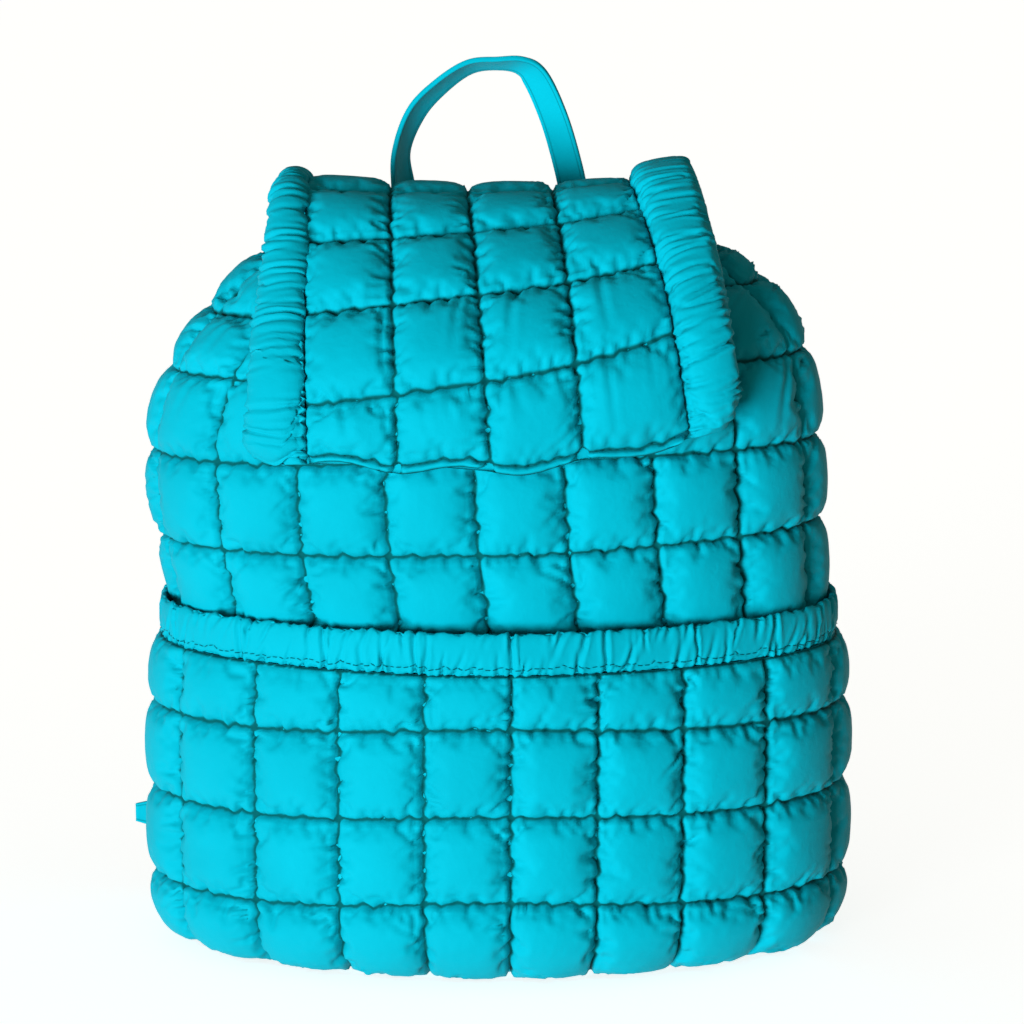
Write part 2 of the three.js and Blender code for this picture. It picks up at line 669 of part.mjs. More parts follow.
// The carrying loop: flat tape, sewn to the back just under the flap's root and turned on its way.
const backFace = (x, height) => {
  const along = alongAt(height);
  const centre = bodySurface(Math.PI, along);
  const edge = Math.abs(x) / (bodyHalfWidth * between(bodySections, "width", along));
  const depth = (1 - edge ** backSquareness) ** (1 / backSquareness);
  const shift = bodyFrontDepth * between(bodySections, "shift", along);
  return shift + (centre.y - shift) * depth + backPuffHeight + seamGap;
};
const loopPoints = loopSections.map(({ across, rise, behind }) => new THREE.Vector3(
  across * loopHalfSpan,
  behind * flapBackReach,
  loopRootHeight + rise * (loopTopHeight - loopRootHeight),
));
const loopFrames = loopPoints.map((place, i) => {
  const before = loopPoints[Math.max(i - 1, 0)];
  const after = loopPoints[Math.min(i + 1, loopPoints.length - 1)];
  const forwards = after.clone().sub(before).normalize();
  const thick = new THREE.Vector3(0, 1, 0).addScaledVector(forwards, -forwards.y).normalize();
  thick.applyAxisAngle(forwards, THREE.MathUtils.degToRad(loopSections[i].turn));
  return { place, wide: new THREE.Vector3().crossVectors(forwards, thick), thick };
});
strip("top_loop", tape, loopFrames, loopWidth, loopThickness);

// The shoulder straps, one for each side.
function strap(side, sign, swing) {
  const topX = sign * strapSpacing;
  const topY = backFace(topX, strapTopHeight);
  const rings = padSections.map(({ drop, bow, spread }, i) => {
    const z = strapTopHeight - drop * (strapTopHeight - padFootHeight);
    const place = new THREE.Vector3(topX + sign * spread * padSpread, topY + bow * strapBow, z);
    const next = padSections[Math.min(i + 1, padSections.length - 1)];
    const before = padSections[Math.max(i - 1, 0)];
    const slope = Math.atan2(
      (next.bow - before.bow) * strapBow,
      (next.drop - before.drop) * (strapTopHeight - padFootHeight),
    );
    const atFoot = i === padSections.length - 1;
    const out = atFoot ? new THREE.Vector3(0, 1, 0) : new THREE.Vector3(0, Math.cos(slope), Math.sin(slope));
    const thickness = i === 0 ? wall : padThickness;
    return [[-0.5, 0.3], [-0.36, 0], [0.36, 0], [0.5, 0.3], [0.5, 0.7], [0.36, 1], [-0.36, 1], [-0.5, 0.7]]
      .map(([a, b]) => place.clone()
        .add(new THREE.Vector3(a * padWidth, 0, 0))
        .addScaledVector(out, b * thickness));
  });
  bar(`strap_pad_${side}`, cloth, rings, false);

  const foot = padSections[padSections.length - 1];
  const footX = topX + sign * foot.spread * padSpread;
  const footY = topY + foot.bow * strapBow + padThickness / 2;
  const sliderTop = padFootHeight - seamGap;
  const frame = new THREE.Shape();
  const sliderHalf = webWidth / 2 + sliderMargin;
  frame.moveTo(-sliderHalf, 0).lineTo(sliderHalf, 0).lineTo(sliderHalf, -sliderLength)
    .lineTo(-sliderHalf, -sliderLength);
  for (const top of [-sliderMargin / 2, -sliderLength / 2 - sliderMargin / 4]) {
    const slot = new THREE.Path();
    const bottom = top - (sliderLength - 1.5 * sliderMargin) / 2;
    slot.moveTo(-webWidth / 2, top).lineTo(-webWidth / 2, bottom).lineTo(webWidth / 2, bottom)
      .lineTo(webWidth / 2, top);
    frame.holes.push(slot);
  }
  const slider = new THREE.ExtrudeGeometry(frame, { depth: sliderThickness, bevelEnabled: false });
  slider.rotateX(Math.PI / 2);
  slider.translate(footX, footY + sliderThickness / 2, sliderTop);
  const sliderMesh = new THREE.Mesh(slider, new THREE.MeshStandardMaterial(moulding));
  sliderMesh.name = `strap_slider_${side}`;
  bag.add(sliderMesh);

  // The tab: a folded triangle of cloth, its long edge in the side seam and its point outwards.
  const seamAngle = sign * sideSeamAngle;
  const rootAlong = alongAt(tabCentreHeight);
  const rootAngle = seamAngle + (sign * (seamGap + wall)) / bodyHalfWidth;
  const root = bodySurface(rootAngle, rootAlong);
  const pointing = new THREE.Vector3(sign * Math.cos(swing), Math.sin(swing), 0);
  const normal = new THREE.Vector3(-sign * pointing.y, sign * pointing.x, 0);
  const start = root.addScaledVector(normalAt(bodySurface, rootAngle, rootAlong), wall + seamGap);
  const tabPoints = [];
  for (const face of [-0.5, 0.5]) {
    for (const [out, up] of [
      [0, tabHeight / 2], [1, tabTipHeight / 2], [1, -tabTipHeight / 2], [0, -tabHeight / 2],
    ]) {
      tabPoints.push(start.clone()
        .addScaledVector(pointing, out * tabLength)
        .addScaledVector(normal, face * wall)
        .add(new THREE.Vector3(0, 0, up)));
    }
  }
  bar(`strap_tab_${side}`, cloth, [tabPoints.slice(0, 4), tabPoints.slice(4)], false);

  // The webbing hangs from the slider to the tab's point.
  const from = new THREE.Vector3(footX, footY, sliderTop - sliderLength - seamGap);
  const to = start.clone()
    .addScaledVector(pointing, tabLength - webWidth)
    .addScaledVector(normal, (wall + webThickness) / 2 + 3 * seamGap);
  const above = to.clone().lerp(from, 0.35).setZ(to.z + tabHeight);
  const near = to.clone().lerp(from, 0.03).setZ(to.z + tabHeight / 3);
  const hang = new THREE.CatmullRomCurve3([
    from,
    from.clone().add(new THREE.Vector3(0, 0, -sliderLength)),
    above,
    near,
    to,
  ]);
  const webFrames = Array.from({ length: 11 }, (_, i) => {
    const place = hang.getPoint(i / 10);
    const forwards = hang.getTangent(i / 10);
    const facing = new THREE.Vector3(0, 1, 0).lerp(normal, i / 10);
    const thick = facing.addScaledVector(forwards, -forwards.dot(facing)).normalize();
    return { place, wide: new THREE.Vector3().crossVectors(forwards, thick), thick };
  });
  strip(`strap_web_${side}`, tape, webFrames, webWidth, webThickness);
}
strap("left", -1, tabSwingLeft);
strap("right", 1, tabSwingRight);

export default bag;
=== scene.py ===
import math

import bpy
import numpy as np
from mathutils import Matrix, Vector


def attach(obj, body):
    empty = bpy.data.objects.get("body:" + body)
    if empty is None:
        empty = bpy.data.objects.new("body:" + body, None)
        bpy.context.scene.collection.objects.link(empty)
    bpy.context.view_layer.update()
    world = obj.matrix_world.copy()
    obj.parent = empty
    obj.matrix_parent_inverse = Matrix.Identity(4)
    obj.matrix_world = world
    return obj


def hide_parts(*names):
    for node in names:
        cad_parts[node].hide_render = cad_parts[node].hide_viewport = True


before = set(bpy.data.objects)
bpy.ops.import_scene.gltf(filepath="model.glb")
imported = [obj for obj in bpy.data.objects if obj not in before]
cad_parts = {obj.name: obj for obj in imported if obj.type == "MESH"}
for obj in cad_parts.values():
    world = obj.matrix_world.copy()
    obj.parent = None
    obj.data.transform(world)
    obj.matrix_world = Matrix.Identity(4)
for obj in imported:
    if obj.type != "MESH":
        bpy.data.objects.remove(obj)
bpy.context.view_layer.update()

# The camera stands a metre and a half in front of the bag, a little above it, and looks slightly down
# through a long lens.
camera = bpy.data.objects.new("camera", bpy.data.cameras.new("camera"))
bpy.context.scene.collection.objects.link(camera)
camera.location = (0.007, -1.590, 0.530)
camera.rotation_euler = (Vector((0.007, 0, 0.2165)) - camera.location).to_track_quat("-Z", "Y").to_euler()
camera.data.lens = 114.6
camera.data.sensor_width = 36
bpy.context.scene.camera = camera


# A pale floor under soft studio light: one large soft light low on the front left, and an even sky. The floor
# shines white by itself, and neither colours the bag from below nor keeps the low light off it.
def set_inputs(look, node, inputs):
    """Gives a node of a material its inputs, each a value or another node's output."""
    for name, given in inputs.items():
        if isinstance(given, bpy.types.NodeSocket):
            look.node_tree.links.new(given, node.inputs[name])
        else:
            node.inputs[name].default_value = given


def new_look(name, inputs):
    """A material whose main shader has the given inputs."""
    look = bpy.data.materials.new(name)
    look.use_nodes = True
    set_inputs(look, look.node_tree.nodes["Principled BSDF"], inputs)
    return look


bpy.ops.object.select_all(action="DESELECT")
bpy.ops.mesh.primitive_plane_add(size=60)
floor = bpy.context.object
floor.name = "floor"
floor_look = new_look("floor", {
    "Base Color": (0.85, 0.85, 0.85, 1), "Roughness": 0.9, "Specular IOR Level": 0.0,
    "Emission Color": (1.0, 1.0, 0.98, 1), "Emission Strength": 0.80,
})
floor.data.materials.append(floor_look)
floor.visible_diffuse = False
floor.visible_shadow = False
key_light = bpy.data.objects.new("key_light", bpy.data.lights.new("key_light", "SUN"))
key_light.data.energy = 6.35
key_light.data.angle = math.radians(30)
key_light.data.color = (0.77, 0.84, 1.0)
key_light.rotation_euler = Vector((0.60, 1.0, 0.14)).to_track_quat("-Z", "Y").to_euler()
bpy.context.scene.collection.objects.link(key_light)
sky = bpy.data.worlds.new("sky")
sky.use_nodes = True
sky.node_tree.nodes["Background"].inputs["Color"].default_value = (1.0, 0.99, 0.93, 1)
sky.node_tree.nodes["Background"].inputs["Strength"].default_value = 0.22
bpy.context.scene.world = sky
bpy.context.scene.view_settings.view_transform = "Standard"

# The body's front and sides: one shell of teal nylon over wadding, sewn in squares, gathered to the neck.
# Its form follows level rings, round in front and squarer behind; the cloth between the seams is blown up
# by a cloth simulation with the seams held.
half_width = 0.1585
front_depth = 0.0795
back_depth = 0.078
neck_height = 0.344
base_seam_height = 0.007
back_squareness = 3.2
side_seam_angle = math.radians(113)
wall = 0.002
side_seam_gap = 0.00095
seam_gap = 0.0003
quilt_pitch = 0.0428
quilt_offset = -0.0045
side_column = 0.026
# What the seam attribute says of cloth that has no seam near.
no_seam = 0.02

# How far up the cloth, then shares of the neck's height, of the half width and of the two depths, the
# shift to the back as a share of the front depth, and the lean to the right as a share of the half width.
body_sections = np.array([
    (0.000, 0.000, 0.965, 0.950, 0.955, 0.00, 0.000),
    (0.010, 0.008, 0.984, 0.978, 0.980, 0.00, 0.000),
    (0.030, 0.030, 0.995, 0.995, 0.995, 0.00, 0.000),
    (0.072, 0.082, 1.000, 1.000, 1.000, 0.00, 0.000),
    (0.250, 0.286, 1.000, 1.000, 1.000, 0.00, 0.000),
    (0.440, 0.504, 1.000, 1.000, 1.000, 0.00, 0.000),
    (0.528, 0.605, 1.020, 1.005, 1.000, 0.00, -0.026),
    (0.650, 0.743, 1.022, 0.990, 1.000, 0.00, -0.040),
    (0.735, 0.841, 0.975, 0.950, 0.985, 0.01, -0.024),
    (0.773, 0.879, 0.940, 0.878, 0.970, 0.03, -0.010),
    (0.830, 0.932, 0.865, 0.704, 0.900, 0.10, 0.002),
    (0.892, 0.976, 0.770, 0.570, 0.750, 0.19, 0.000),
    (0.933, 0.998, 0.690, 0.500, 0.630, 0.25, 0.000),
    (0.964, 1.004, 0.610, 0.475, 0.540, 0.28, 0.000),
    (1.000, 1.000, 0.525, 0.450, 0.460, 0.30, 0.000),
])
# The level seams: how far up the cloth at the front, the rise at the left and right sides, and how full
# the row above each is.
body_rows = (
    (0.000, 0.000, 0.000, 0.0),
    (0.010, 0.000, 0.000, 0.0),
    (0.030, 0.000, 0.000, 0.0),
    (0.072, 0.000, 0.000, 0.0),
    (0.420, 0.000, 0.000, 1.0),
    (0.528, -0.010, 0.012, 1.0),
    (0.649, -0.020, 0.000, 1.0),
    (0.750, -0.017, 0.010, 0.9),
    (0.850, -0.035, 0.020, 0.8),
    (0.930, -0.010, 0.005, 0.5),
    (1.000, 0.000, 0.000, 0.0),
)


def between(table, column, along):
    """A column of a table of sections, on a smooth curve through its rows."""
    at, values = table[:, 0], table[:, column]
    slopes = np.gradient(values, at)
    slopes[1:-1] = (values[2:] - values[:-2]) / (at[2:] - at[:-2])
    along = np.clip(along, at[0], at[-1])
    row = np.clip(np.searchsorted(at, along) - 1, 0, len(at) - 2)
    span = at[row + 1] - at[row]
    t = (along - at[row]) / span
    keep = (1 + 2 * t) * (1 - t) ** 2
    return (keep * values[row] + (1 - keep) * values[row + 1]
            + t * (1 - t) ** 2 * span * slopes[row] - t ** 2 * (1 - t) * span * slopes[row + 1])


def ring_point(angle, width, front, back, shift, height):
    """A point of a level ring; angle 0 is the front centre and grows towards +X."""
    behind = np.cos(angle) < 0
    power = np.where(behind, back_squareness, 2.0)
    sideways = np.abs(np.sin(angle)) / width
    endways = np.abs(np.cos(angle)) / np.where(behind, back, front)
    radius = (sideways ** power + endways ** power) ** (-1 / power)
    return np.stack([radius * np.sin(angle), shift - radius * np.cos(angle), height + 0 * angle], -1)


def body_surface(angle, along):
    """A point of the body's cloth, at an angle of its ring and a share of the way up."""
    angle, along = np.broadcast_arrays(np.asarray(angle, float), np.asarray(along, float))
    up, width, front, back, shift, lean = (between(body_sections, k, along) for k in range(1, 7))
    point = ring_point(
        angle, half_width * width, front_depth * front, back_depth * back, front_depth * shift,
        base_seam_height + (neck_height - base_seam_height) * up)
    point[..., 0] += half_width * lean
    return point


def unit(vectors):
    return vectors / np.maximum(np.linalg.norm(vectors, axis=-1, keepdims=True), 1e-12)


def running_length(points, axis=0):
    """The length so far at each of the points, along an axis of a row or grid of them."""
    steps = np.linalg.norm(np.diff(points, axis=axis), axis=-1)
    return np.concatenate([0 * np.take(steps, [0], axis), np.cumsum(steps, axis)], axis)


def squares(index):
    """The four-cornered faces of a grid of point numbers."""
    return np.stack([index[:-1, :-1], index[:-1, 1:], index[1:, 1:], index[1:, :-1]], -1).reshape(-1, 4)


def outward(surface, u, v):
    """The direction away from the bag at a place of a surface."""
    step = 0.002
    across = surface(u + step, v) - surface(u - step, v)
    upwards = surface(u, np.minimum(v + step, 1)) - surface(u, np.maximum(v - step, 0))
    return unit(np.cross(across, upwards))


def cloth_angles(layer):
    """The angle at a length of cloth from the front centre, the side seam's length and half the ring's."""
    turn = np.linspace(0, math.pi, 721)
    ring = ring_point(turn, half_width + layer, front_depth + layer, back_depth + layer, 0, 0)
    lengths = running_length(ring)
    angle_at = lambda length: np.sign(length) * np.interp(np.abs(length), lengths, turn)
    return angle_at, float(np.interp(side_seam_angle, turn, lengths)), float(lengths[-1])


def seam_lines(pitch, offset, end, end_column):
    """Seam lines a pitch apart, with one column of a given width at either end."""
    limit, sliver = end - end_column, 0.35 * pitch
    first = offset - pitch * math.floor((offset + limit - sliver) / pitch)
    inner = np.arange(first, limit - sliver, pitch)
    return [-end, -limit, *inner, limit, end]


def level(share):
    """A seam that runs level at one share of the way up."""
    return lambda u: share + 0 * u


def along_at(height):
    """How far up the body's cloth a height is reached at the front."""
    along = np.arange(0, 1, 0.0005)
    return float(along[np.argmax(body_surface(0 * along, along)[:, 2] >= height)])


def finer(grid):
    """A grid of points with a new row and a new column between each two, on smooth curves."""
    for axis in (0, 1):
        g = np.moveaxis(grid, axis, 0)
        ends = np.concatenate([2 * g[:1] - g[1:2], g, 2 * g[-1:] - g[-2:-1]])
        middle = (9 * (ends[1:-2] + ends[2:-1]) - ends[:-3] - ends[3:]) / 16
        out = np.empty((2 * len(g) - 1, *g.shape[1:]))
        out[0::2], out[1::2] = g, middle
        grid = np.moveaxis(out, 0, axis)
    return grid


def zip_rows(outer, inner, outer_places, inner_places, outward_first):
    """Triangles between two rows of points that run side by side."""
    faces, i, j = [], 0, 0
    while i < len(outer) - 1 or j < len(inner) - 1:
        step_outer = j == len(inner) - 1 or (
            i < len(outer) - 1 and outer_places[i + 1] <= inner_places[j + 1])
        face = (outer[i], inner[j], outer[i + 1]) if step_outer else (outer[i], inner[j], inner[j + 1])
        faces.append(face if outward_first else face[::-1])
        i, j = (i + 1, j) if step_outer else (i, j + 1)
    return faces


def add_mesh(name, points, faces, look, uv=None, seam=None):
    """A smooth mesh object at the origin, with its cloth lengths as UVs and its seams as an attribute."""
    mesh = bpy.data.meshes.new(name)
    mesh.from_pydata([tuple(p) for p in np.asarray(points, float)], [], [tuple(map(int, f)) for f in faces])
    if uv is not None:
        corners = np.empty(len(mesh.loops), int)
        mesh.loops.foreach_get("vertex_index", corners)
        mesh.uv_layers.new(name="cloth").data.foreach_set("uv", np.asarray(uv)[corners].ravel())
    if seam is not None:
        layer = mesh.attributes.new("seam", "FLOAT", "POINT")
        layer.data.foreach_set("value", np.asarray(seam, float))
    mesh.polygons.foreach_set("use_smooth", [True] * len(mesh.polygons))
    mesh.materials.append(look)
    piece = bpy.data.objects.new(name, mesh)
    bpy.context.scene.collection.objects.link(piece)
    return piece


def pinch(points, out, place, seam, marks):
    """Presses creases into a sheet, each from one place in the cloth to another, with a width and depth.

    A crease bows a little, has a low ridge on either side, runs out at its end, and gets painted shade along
    its line.
    """
    for start, end, width, depth in marks:
        start, end = np.array(start), np.array(end)
        reach = 4 * width
        low, high = np.minimum(start, end) - reach, np.maximum(start, end) + reach
        near = np.nonzero(((place > low) & (place < high)).all(axis=-1))
        if not len(near[0]):
            continue
        length = np.linalg.norm(end - start)
        way = (end - start) / length
        offset = place[near] - start
        along = offset @ way / length
        across = offset @ np.array((-way[1], way[0])) + 0.12 * length * along * (1 - along)
        fade = np.clip(1.1 - along, 0, 1) * np.clip(1 + 5 * along, 0, 1)
        share = across / width
        profile = np.exp(-share ** 2) - 0.4 * np.exp(-((np.abs(share) - 2) ** 2))
        points[near] -= out[near] * (depth * fade * profile)[:, None]
        # The crease's line also goes into the seam attribute, so the material paints shade along it.
        line = 0.0004 + np.abs(across) + 0.0014 * (1 - fade * min(1.0, depth / 0.0014))
        seam[near] = np.minimum(seam[near], line)


def seam_pinches(dice, left, right, low, high, long_ones):
    """The creases of one quilted square: most at its right seam, small ones at the level seams."""
    marks = []
    width, height = right - left, high - low
    for edge, side, count in ((left, 1, dice.randint(2, 5)), (right, -1, dice.randint(6, 11))):
        for _ in range(count):
            t = low + height * dice.uniform(0.16, 0.94)
            reach = width * dice.uniform(0.08, 0.20 if side > 0 else 0.34)
            marks.append(((edge, t), (edge + side * reach, t + reach * dice.uniform(-0.9, 0.7)),
                          dice.uniform(0.0008, 0.0015), dice.uniform(0.0007, 0.0022)))
    for edge, side in ((low, 1), (high, -1)):
        for _ in range(dice.randint(4, 8)):
            s = left + width * dice.uniform(0.06, 0.94)
            reach = height * dice.uniform(0.05, 0.15)
            marks.append(((s, edge), (s + reach * dice.uniform(-0.6, 0.6), edge + side * reach),
                          dice.uniform(0.0007, 0.0012), dice.uniform(0.0005, 0.0013)))
    for _ in range(long_ones):
        s = left + width * dice.uniform(0.1, 0.9)
        marks.append(((s, high),
                      (s + width * dice.uniform(-0.15, 0.15), high - height * dice.uniform(0.4, 0.9)),
                      dice.uniform(0.0012, 0.0020), dice.uniform(0.0006, 0.0014)))
    return marks


def blow_up(start, held, loose, pressure, seed):
    """Blows up a sheet with Blender's cloth, held where it is sewn, ten times as large as it is.

    loose says from 0 to 1 how much spare cloth a place has.
    """
    rows, columns = start.shape[:2]
    scale, last_frame = 10, 20
    faces = squares(np.arange(rows * columns).reshape(rows, columns))
    jitter = np.random.RandomState(seed).uniform(-0.0002, 0.0002, start.shape) * ~held[..., None]
    mesh = bpy.data.meshes.new("sheet")
    mesh.from_pydata(((start + jitter) * scale).reshape(-1, 3).tolist(), [], faces.tolist())
    sheet = bpy.data.objects.new("sheet", mesh)
    bpy.context.scene.collection.objects.link(sheet)
    pins = sheet.vertex_groups.new(name="pins")
    pins.add(np.flatnonzero(held.ravel()).tolist(), 1.0, "REPLACE")
    spare = sheet.vertex_groups.new(name="spare")
    for tenths in range(1, 11):
        chosen = np.flatnonzero(np.round(loose.ravel() * 10) == tenths)
        if len(chosen):
            spare.add(chosen.tolist(), tenths / 10, "REPLACE")
    cloth = sheet.modifiers.new("cloth", "CLOTH")
    for setting, value in (
            ("quality", 5), ("mass", 0.05), ("tension_stiffness", 15), ("compression_stiffness", 15),
            ("shear_stiffness", 5), ("bending_stiffness", 0.03), ("air_damping", 1), ("use_pressure", True),
            ("uniform_pressure_force", pressure), ("vertex_group_mass", "pins"),
            ("vertex_group_shrink", "spare"), ("shrink_min", -0.08), ("shrink_max", -0.30)):
        setattr(cloth.settings, setting, value)
    cloth.settings.effector_weights.gravity = 0
    cloth.collision_settings.use_collision = False
    cloth.point_cache.frame_start, cloth.point_cache.frame_end = 1, last_frame
    for step in range(1, last_frame + 1):
        bpy.context.scene.frame_set(step)
    shown = sheet.evaluated_get(bpy.context.evaluated_depsgraph_get())
    points = np.empty(rows * columns * 3)
    shown.data.vertices.foreach_get("co", points)
    bpy.data.objects.remove(sheet)
    bpy.context.scene.frame_set(1)
    return points.reshape(rows, columns, 3) / scale


def grid_lines(sizes, step, plain):
    """Grid places between seams, as the cell and the share across it; plain cells have two steps."""
    lines = [(0, 0.0)]
    for cell, size in enumerate(sizes):
        count = 2 if plain[cell] else 2 * max(1, round(size / step / 2))
        lines += [(cell, k / count) for k in range(1, count + 1)]
    return np.array([c for c, _ in lines]), np.array([t for _, t in lines])


def quilted_panel(name, surface, columns, rows, fullness, look, options):
    """A padded panel: puffs between held seams outside, a plain lining inside, closed round its edges.

    Gives the piece, and the points and directions along each of its cross seams.
    """
    puff, step, seed = options["puff"], options["step"], options["seed"]
    wave = 0.0012
    pucker, sunk, roll_height, cap = (0, 0, 0, 1) if options.get("flat") else (0.0004, 0.0012, 0.0007, 1.25)
    loose = options.get("loose", lambda u, v: 0 * u * v)
    normal = options.get("normal", lambda u, v: outward(surface, u, v))
    columns = np.array(columns, float)
    middle_row = rows[len(rows) // 2](columns)
    widths = np.linalg.norm(np.diff(surface(columns, middle_row), axis=0), axis=1)
    middle_column = columns[len(columns) // 2]
    levels = np.array([row(middle_column * np.ones(1))[0] for row in rows])
    heights = np.linalg.norm(np.diff(surface(middle_column + 0 * levels, levels), axis=0), axis=1)
    plain_rows = [full == 0 for full in fullness[:len(heights)]]
    column_cell, column_share = grid_lines(widths, step, [False] * len(widths))
    row_cell, row_share = grid_lines(heights, step, plain_rows)
    u = columns[column_cell] + (columns[column_cell + 1] - columns[column_cell]) * column_share
    row_levels = np.array([row(u) for row in rows])
    v = row_levels[row_cell] * (1 - row_share[:, None]) + row_levels[row_cell + 1] * row_share[:, None]
    u = np.broadcast_to(u, v.shape)
    flat = surface(u, v)
    out = normal(u, v)
    lengths_u, lengths_v = running_length(flat, 1), running_length(flat, 0)
    from_column = np.minimum(column_share, 1 - column_share) * widths[column_cell]
    from_row = np.minimum(row_share, 1 - row_share) * heights[row_cell]
    at_end = (column_cell == 0) | (column_cell == len(columns) - 2)
    full = np.outer(np.array(fullness)[row_cell], np.where(at_end, options.get("end_fullness", 1.0), 1.0))
    dice = np.random.RandomState(seed)
    puff_share = np.sqrt(np.outer(np.sin(math.pi * row_share), np.sin(math.pi * column_share)).clip(0))
    along_u = unit(np.gradient(flat, axis=1))
    along_v = unit(np.gradient(flat, axis=0))
    # The seams run in small waves, in the cloth and in and out of it.
    wave_reach = 0.008
    phases = dice.uniform(0, 2 * math.pi, (6, 64))
    column_line = np.broadcast_to(column_cell + np.round(column_share), v.shape)
    row_line_at = np.broadcast_to((row_cell + np.round(row_share))[:, None], v.shape)
    inside_u = (column_line[0] > 0) & (column_line[0] < len(columns) - 1)
    inside_v = (row_line_at[:, 0] > 0) & (row_line_at[:, 0] < len(rows) - 1)
    by_column = (1 - from_column / wave_reach).clip(0) ** 2 * inside_u
    by_row = ((1 - from_row / wave_reach).clip(0) ** 2 * inside_v)[:, None]

    def waves(length, line, first, short, long):
        start, other = phases[first][line.astype(int)], phases[first + 1][line.astype(int)]
        swell = 0.7 + 0.5 * np.sin(2 * math.pi * length / (4.1 * short) + other)
        return swell * (0.5 * np.sin(2 * math.pi * length / short + start)
                        + 0.35 * np.sin(2 * math.pi * length / long + other)
                        + 0.35 * np.sin(2 * math.pi * length / (0.61 * short) + 2 * start))

    sway_u = waves(lengths_v, column_line, 0, 0.012, 0.019) * by_column
    sway_v = waves(lengths_u, row_line_at, 2, 0.011, 0.017) * by_row
    ripple = (waves(lengths_v, column_line, 4, 0.0068, 0.0101) * by_column
              + waves(lengths_u, row_line_at, 4, 0.0072, 0.0113) * by_row)
    on_column, on_row = from_column < 1e-6, (from_row < 1e-6)[:, None]
    sewn = np.maximum(on_column * inside_u, on_row * inside_v[:, None])
    start = flat + (wave * sway_u)[..., None] * along_u + (wave * sway_v)[..., None] * along_v
    start += out * (ripple * pucker - sewn * sunk)[..., None]
    held = on_column | on_row | (full == 0)
    swollen = start + out * (0.5 * puff * full * puff_share)[..., None]
    shape = blow_up(swollen, held, np.clip(loose(u, v), 0, 1), options["pressure"], seed)
    rise = np.einsum("ijk,ijk->ij", shape - start, out)
    ceiling = puff * np.maximum(full, 0.05) * cap
    lowest = -0.0015
    kept = np.where(rise > 0, ceiling * np.tanh(rise / ceiling), rise.clip(lowest, None))
    shape = shape + out * (kept - rise)[..., None]
    outer = finer(shape)
    places_u = finer(np.stack([lengths_u, lengths_v], -1))
    seam = np.minimum(np.broadcast_to(from_column, v.shape), from_row[:, None])
    seam = finer(np.where(full == 0, no_seam, seam)[..., None])[..., 0]
    out_fine = unit(finer(out))
    # The wadding pushes the cloth up close beside each seam, so that the seam lies in a tight crease.
    roll_place, roll_width = 0.0019, 0.0011
    roll = roll_height * np.exp(-((seam - roll_place) / roll_width) ** 2)
    outer += out_fine * roll[..., None]
    column_at = [int(np.flatnonzero((column_cell + column_share) == k)[0]) for k in range(len(columns))]
    row_at = [int(np.flatnonzero((row_cell + row_share) == k)[0]) for k in range(len(rows))]
    marks = []
    for r, (low, high) in enumerate(zip(row_at, row_at[1:])):
        for left, right in zip(column_at, column_at[1:]):
            if fullness[r] > 0 and not options.get("flat"):
                i, j = (left + right) // 2, (low + high) // 2
                marks += seam_pinches(dice, lengths_u[j, left], lengths_u[j, right], lengths_v[low, i],
                                      lengths_v[high, i], options.get("long", {}).get(r, 0))
    pinch(outer, out_fine, places_u, seam, marks)
    sewn_lines = [(outer[2 * j], out_fine[2 * j]) for j in row_at[1:-1] if seam[2 * j].min() < no_seam / 2]
    # The lining has a point at each seam and one between, and the edges are closed to it.
    inner_u = np.flatnonzero(np.isin(np.round(column_share * 2, 6), (0, 1, 2)))
    inner_v = np.flatnonzero(np.isin(np.round(row_share * 2, 6), (0, 1, 2)))
    lining = (flat - out * wall)[np.ix_(inner_v, inner_u)]
    a = np.arange(seam.size).reshape(seam.shape)
    b = seam.size + np.arange(len(inner_v) * len(inner_u)).reshape(len(inner_v), len(inner_u))
    faces = squares(a).tolist() + squares(b)[:, [0, 3, 2, 1]].tolist()
    fine_u, fine_v = np.arange(a.shape[1]), np.arange(a.shape[0])
    faces += zip_rows(a[0], b[0], fine_u, 2 * inner_u, True)
    faces += zip_rows(a[-1], b[-1], fine_u, 2 * inner_u, False)
    faces += zip_rows(a[:, 0], b[:, 0], fine_v, 2 * inner_v, False)
    faces += zip_rows(a[:, -1], b[:, -1], fine_v, 2 * inner_v, True)
    points = np.concatenate([outer.reshape(-1, 3), lining.reshape(-1, 3)])
    inner_places = np.stack([lengths_u, lengths_v], -1)[np.ix_(inner_v, inner_u)]
    uv = np.concatenate([places_u.reshape(-1, 2), inner_places.reshape(-1, 2)])
    seam = np.concatenate([seam.ravel(), np.full(b.size, no_seam)])
    return add_mesh(name, points, faces, look, uv, seam), sewn_lines


def new_node(look, kind, inputs, **settings):
    """A new node of a material, with its settings and its inputs."""
    node = look.node_tree.nodes.new("ShaderNode" + kind)
    for name, given in settings.items():
        setattr(node, name, given)
    set_inputs(look, node, inputs)
    return node


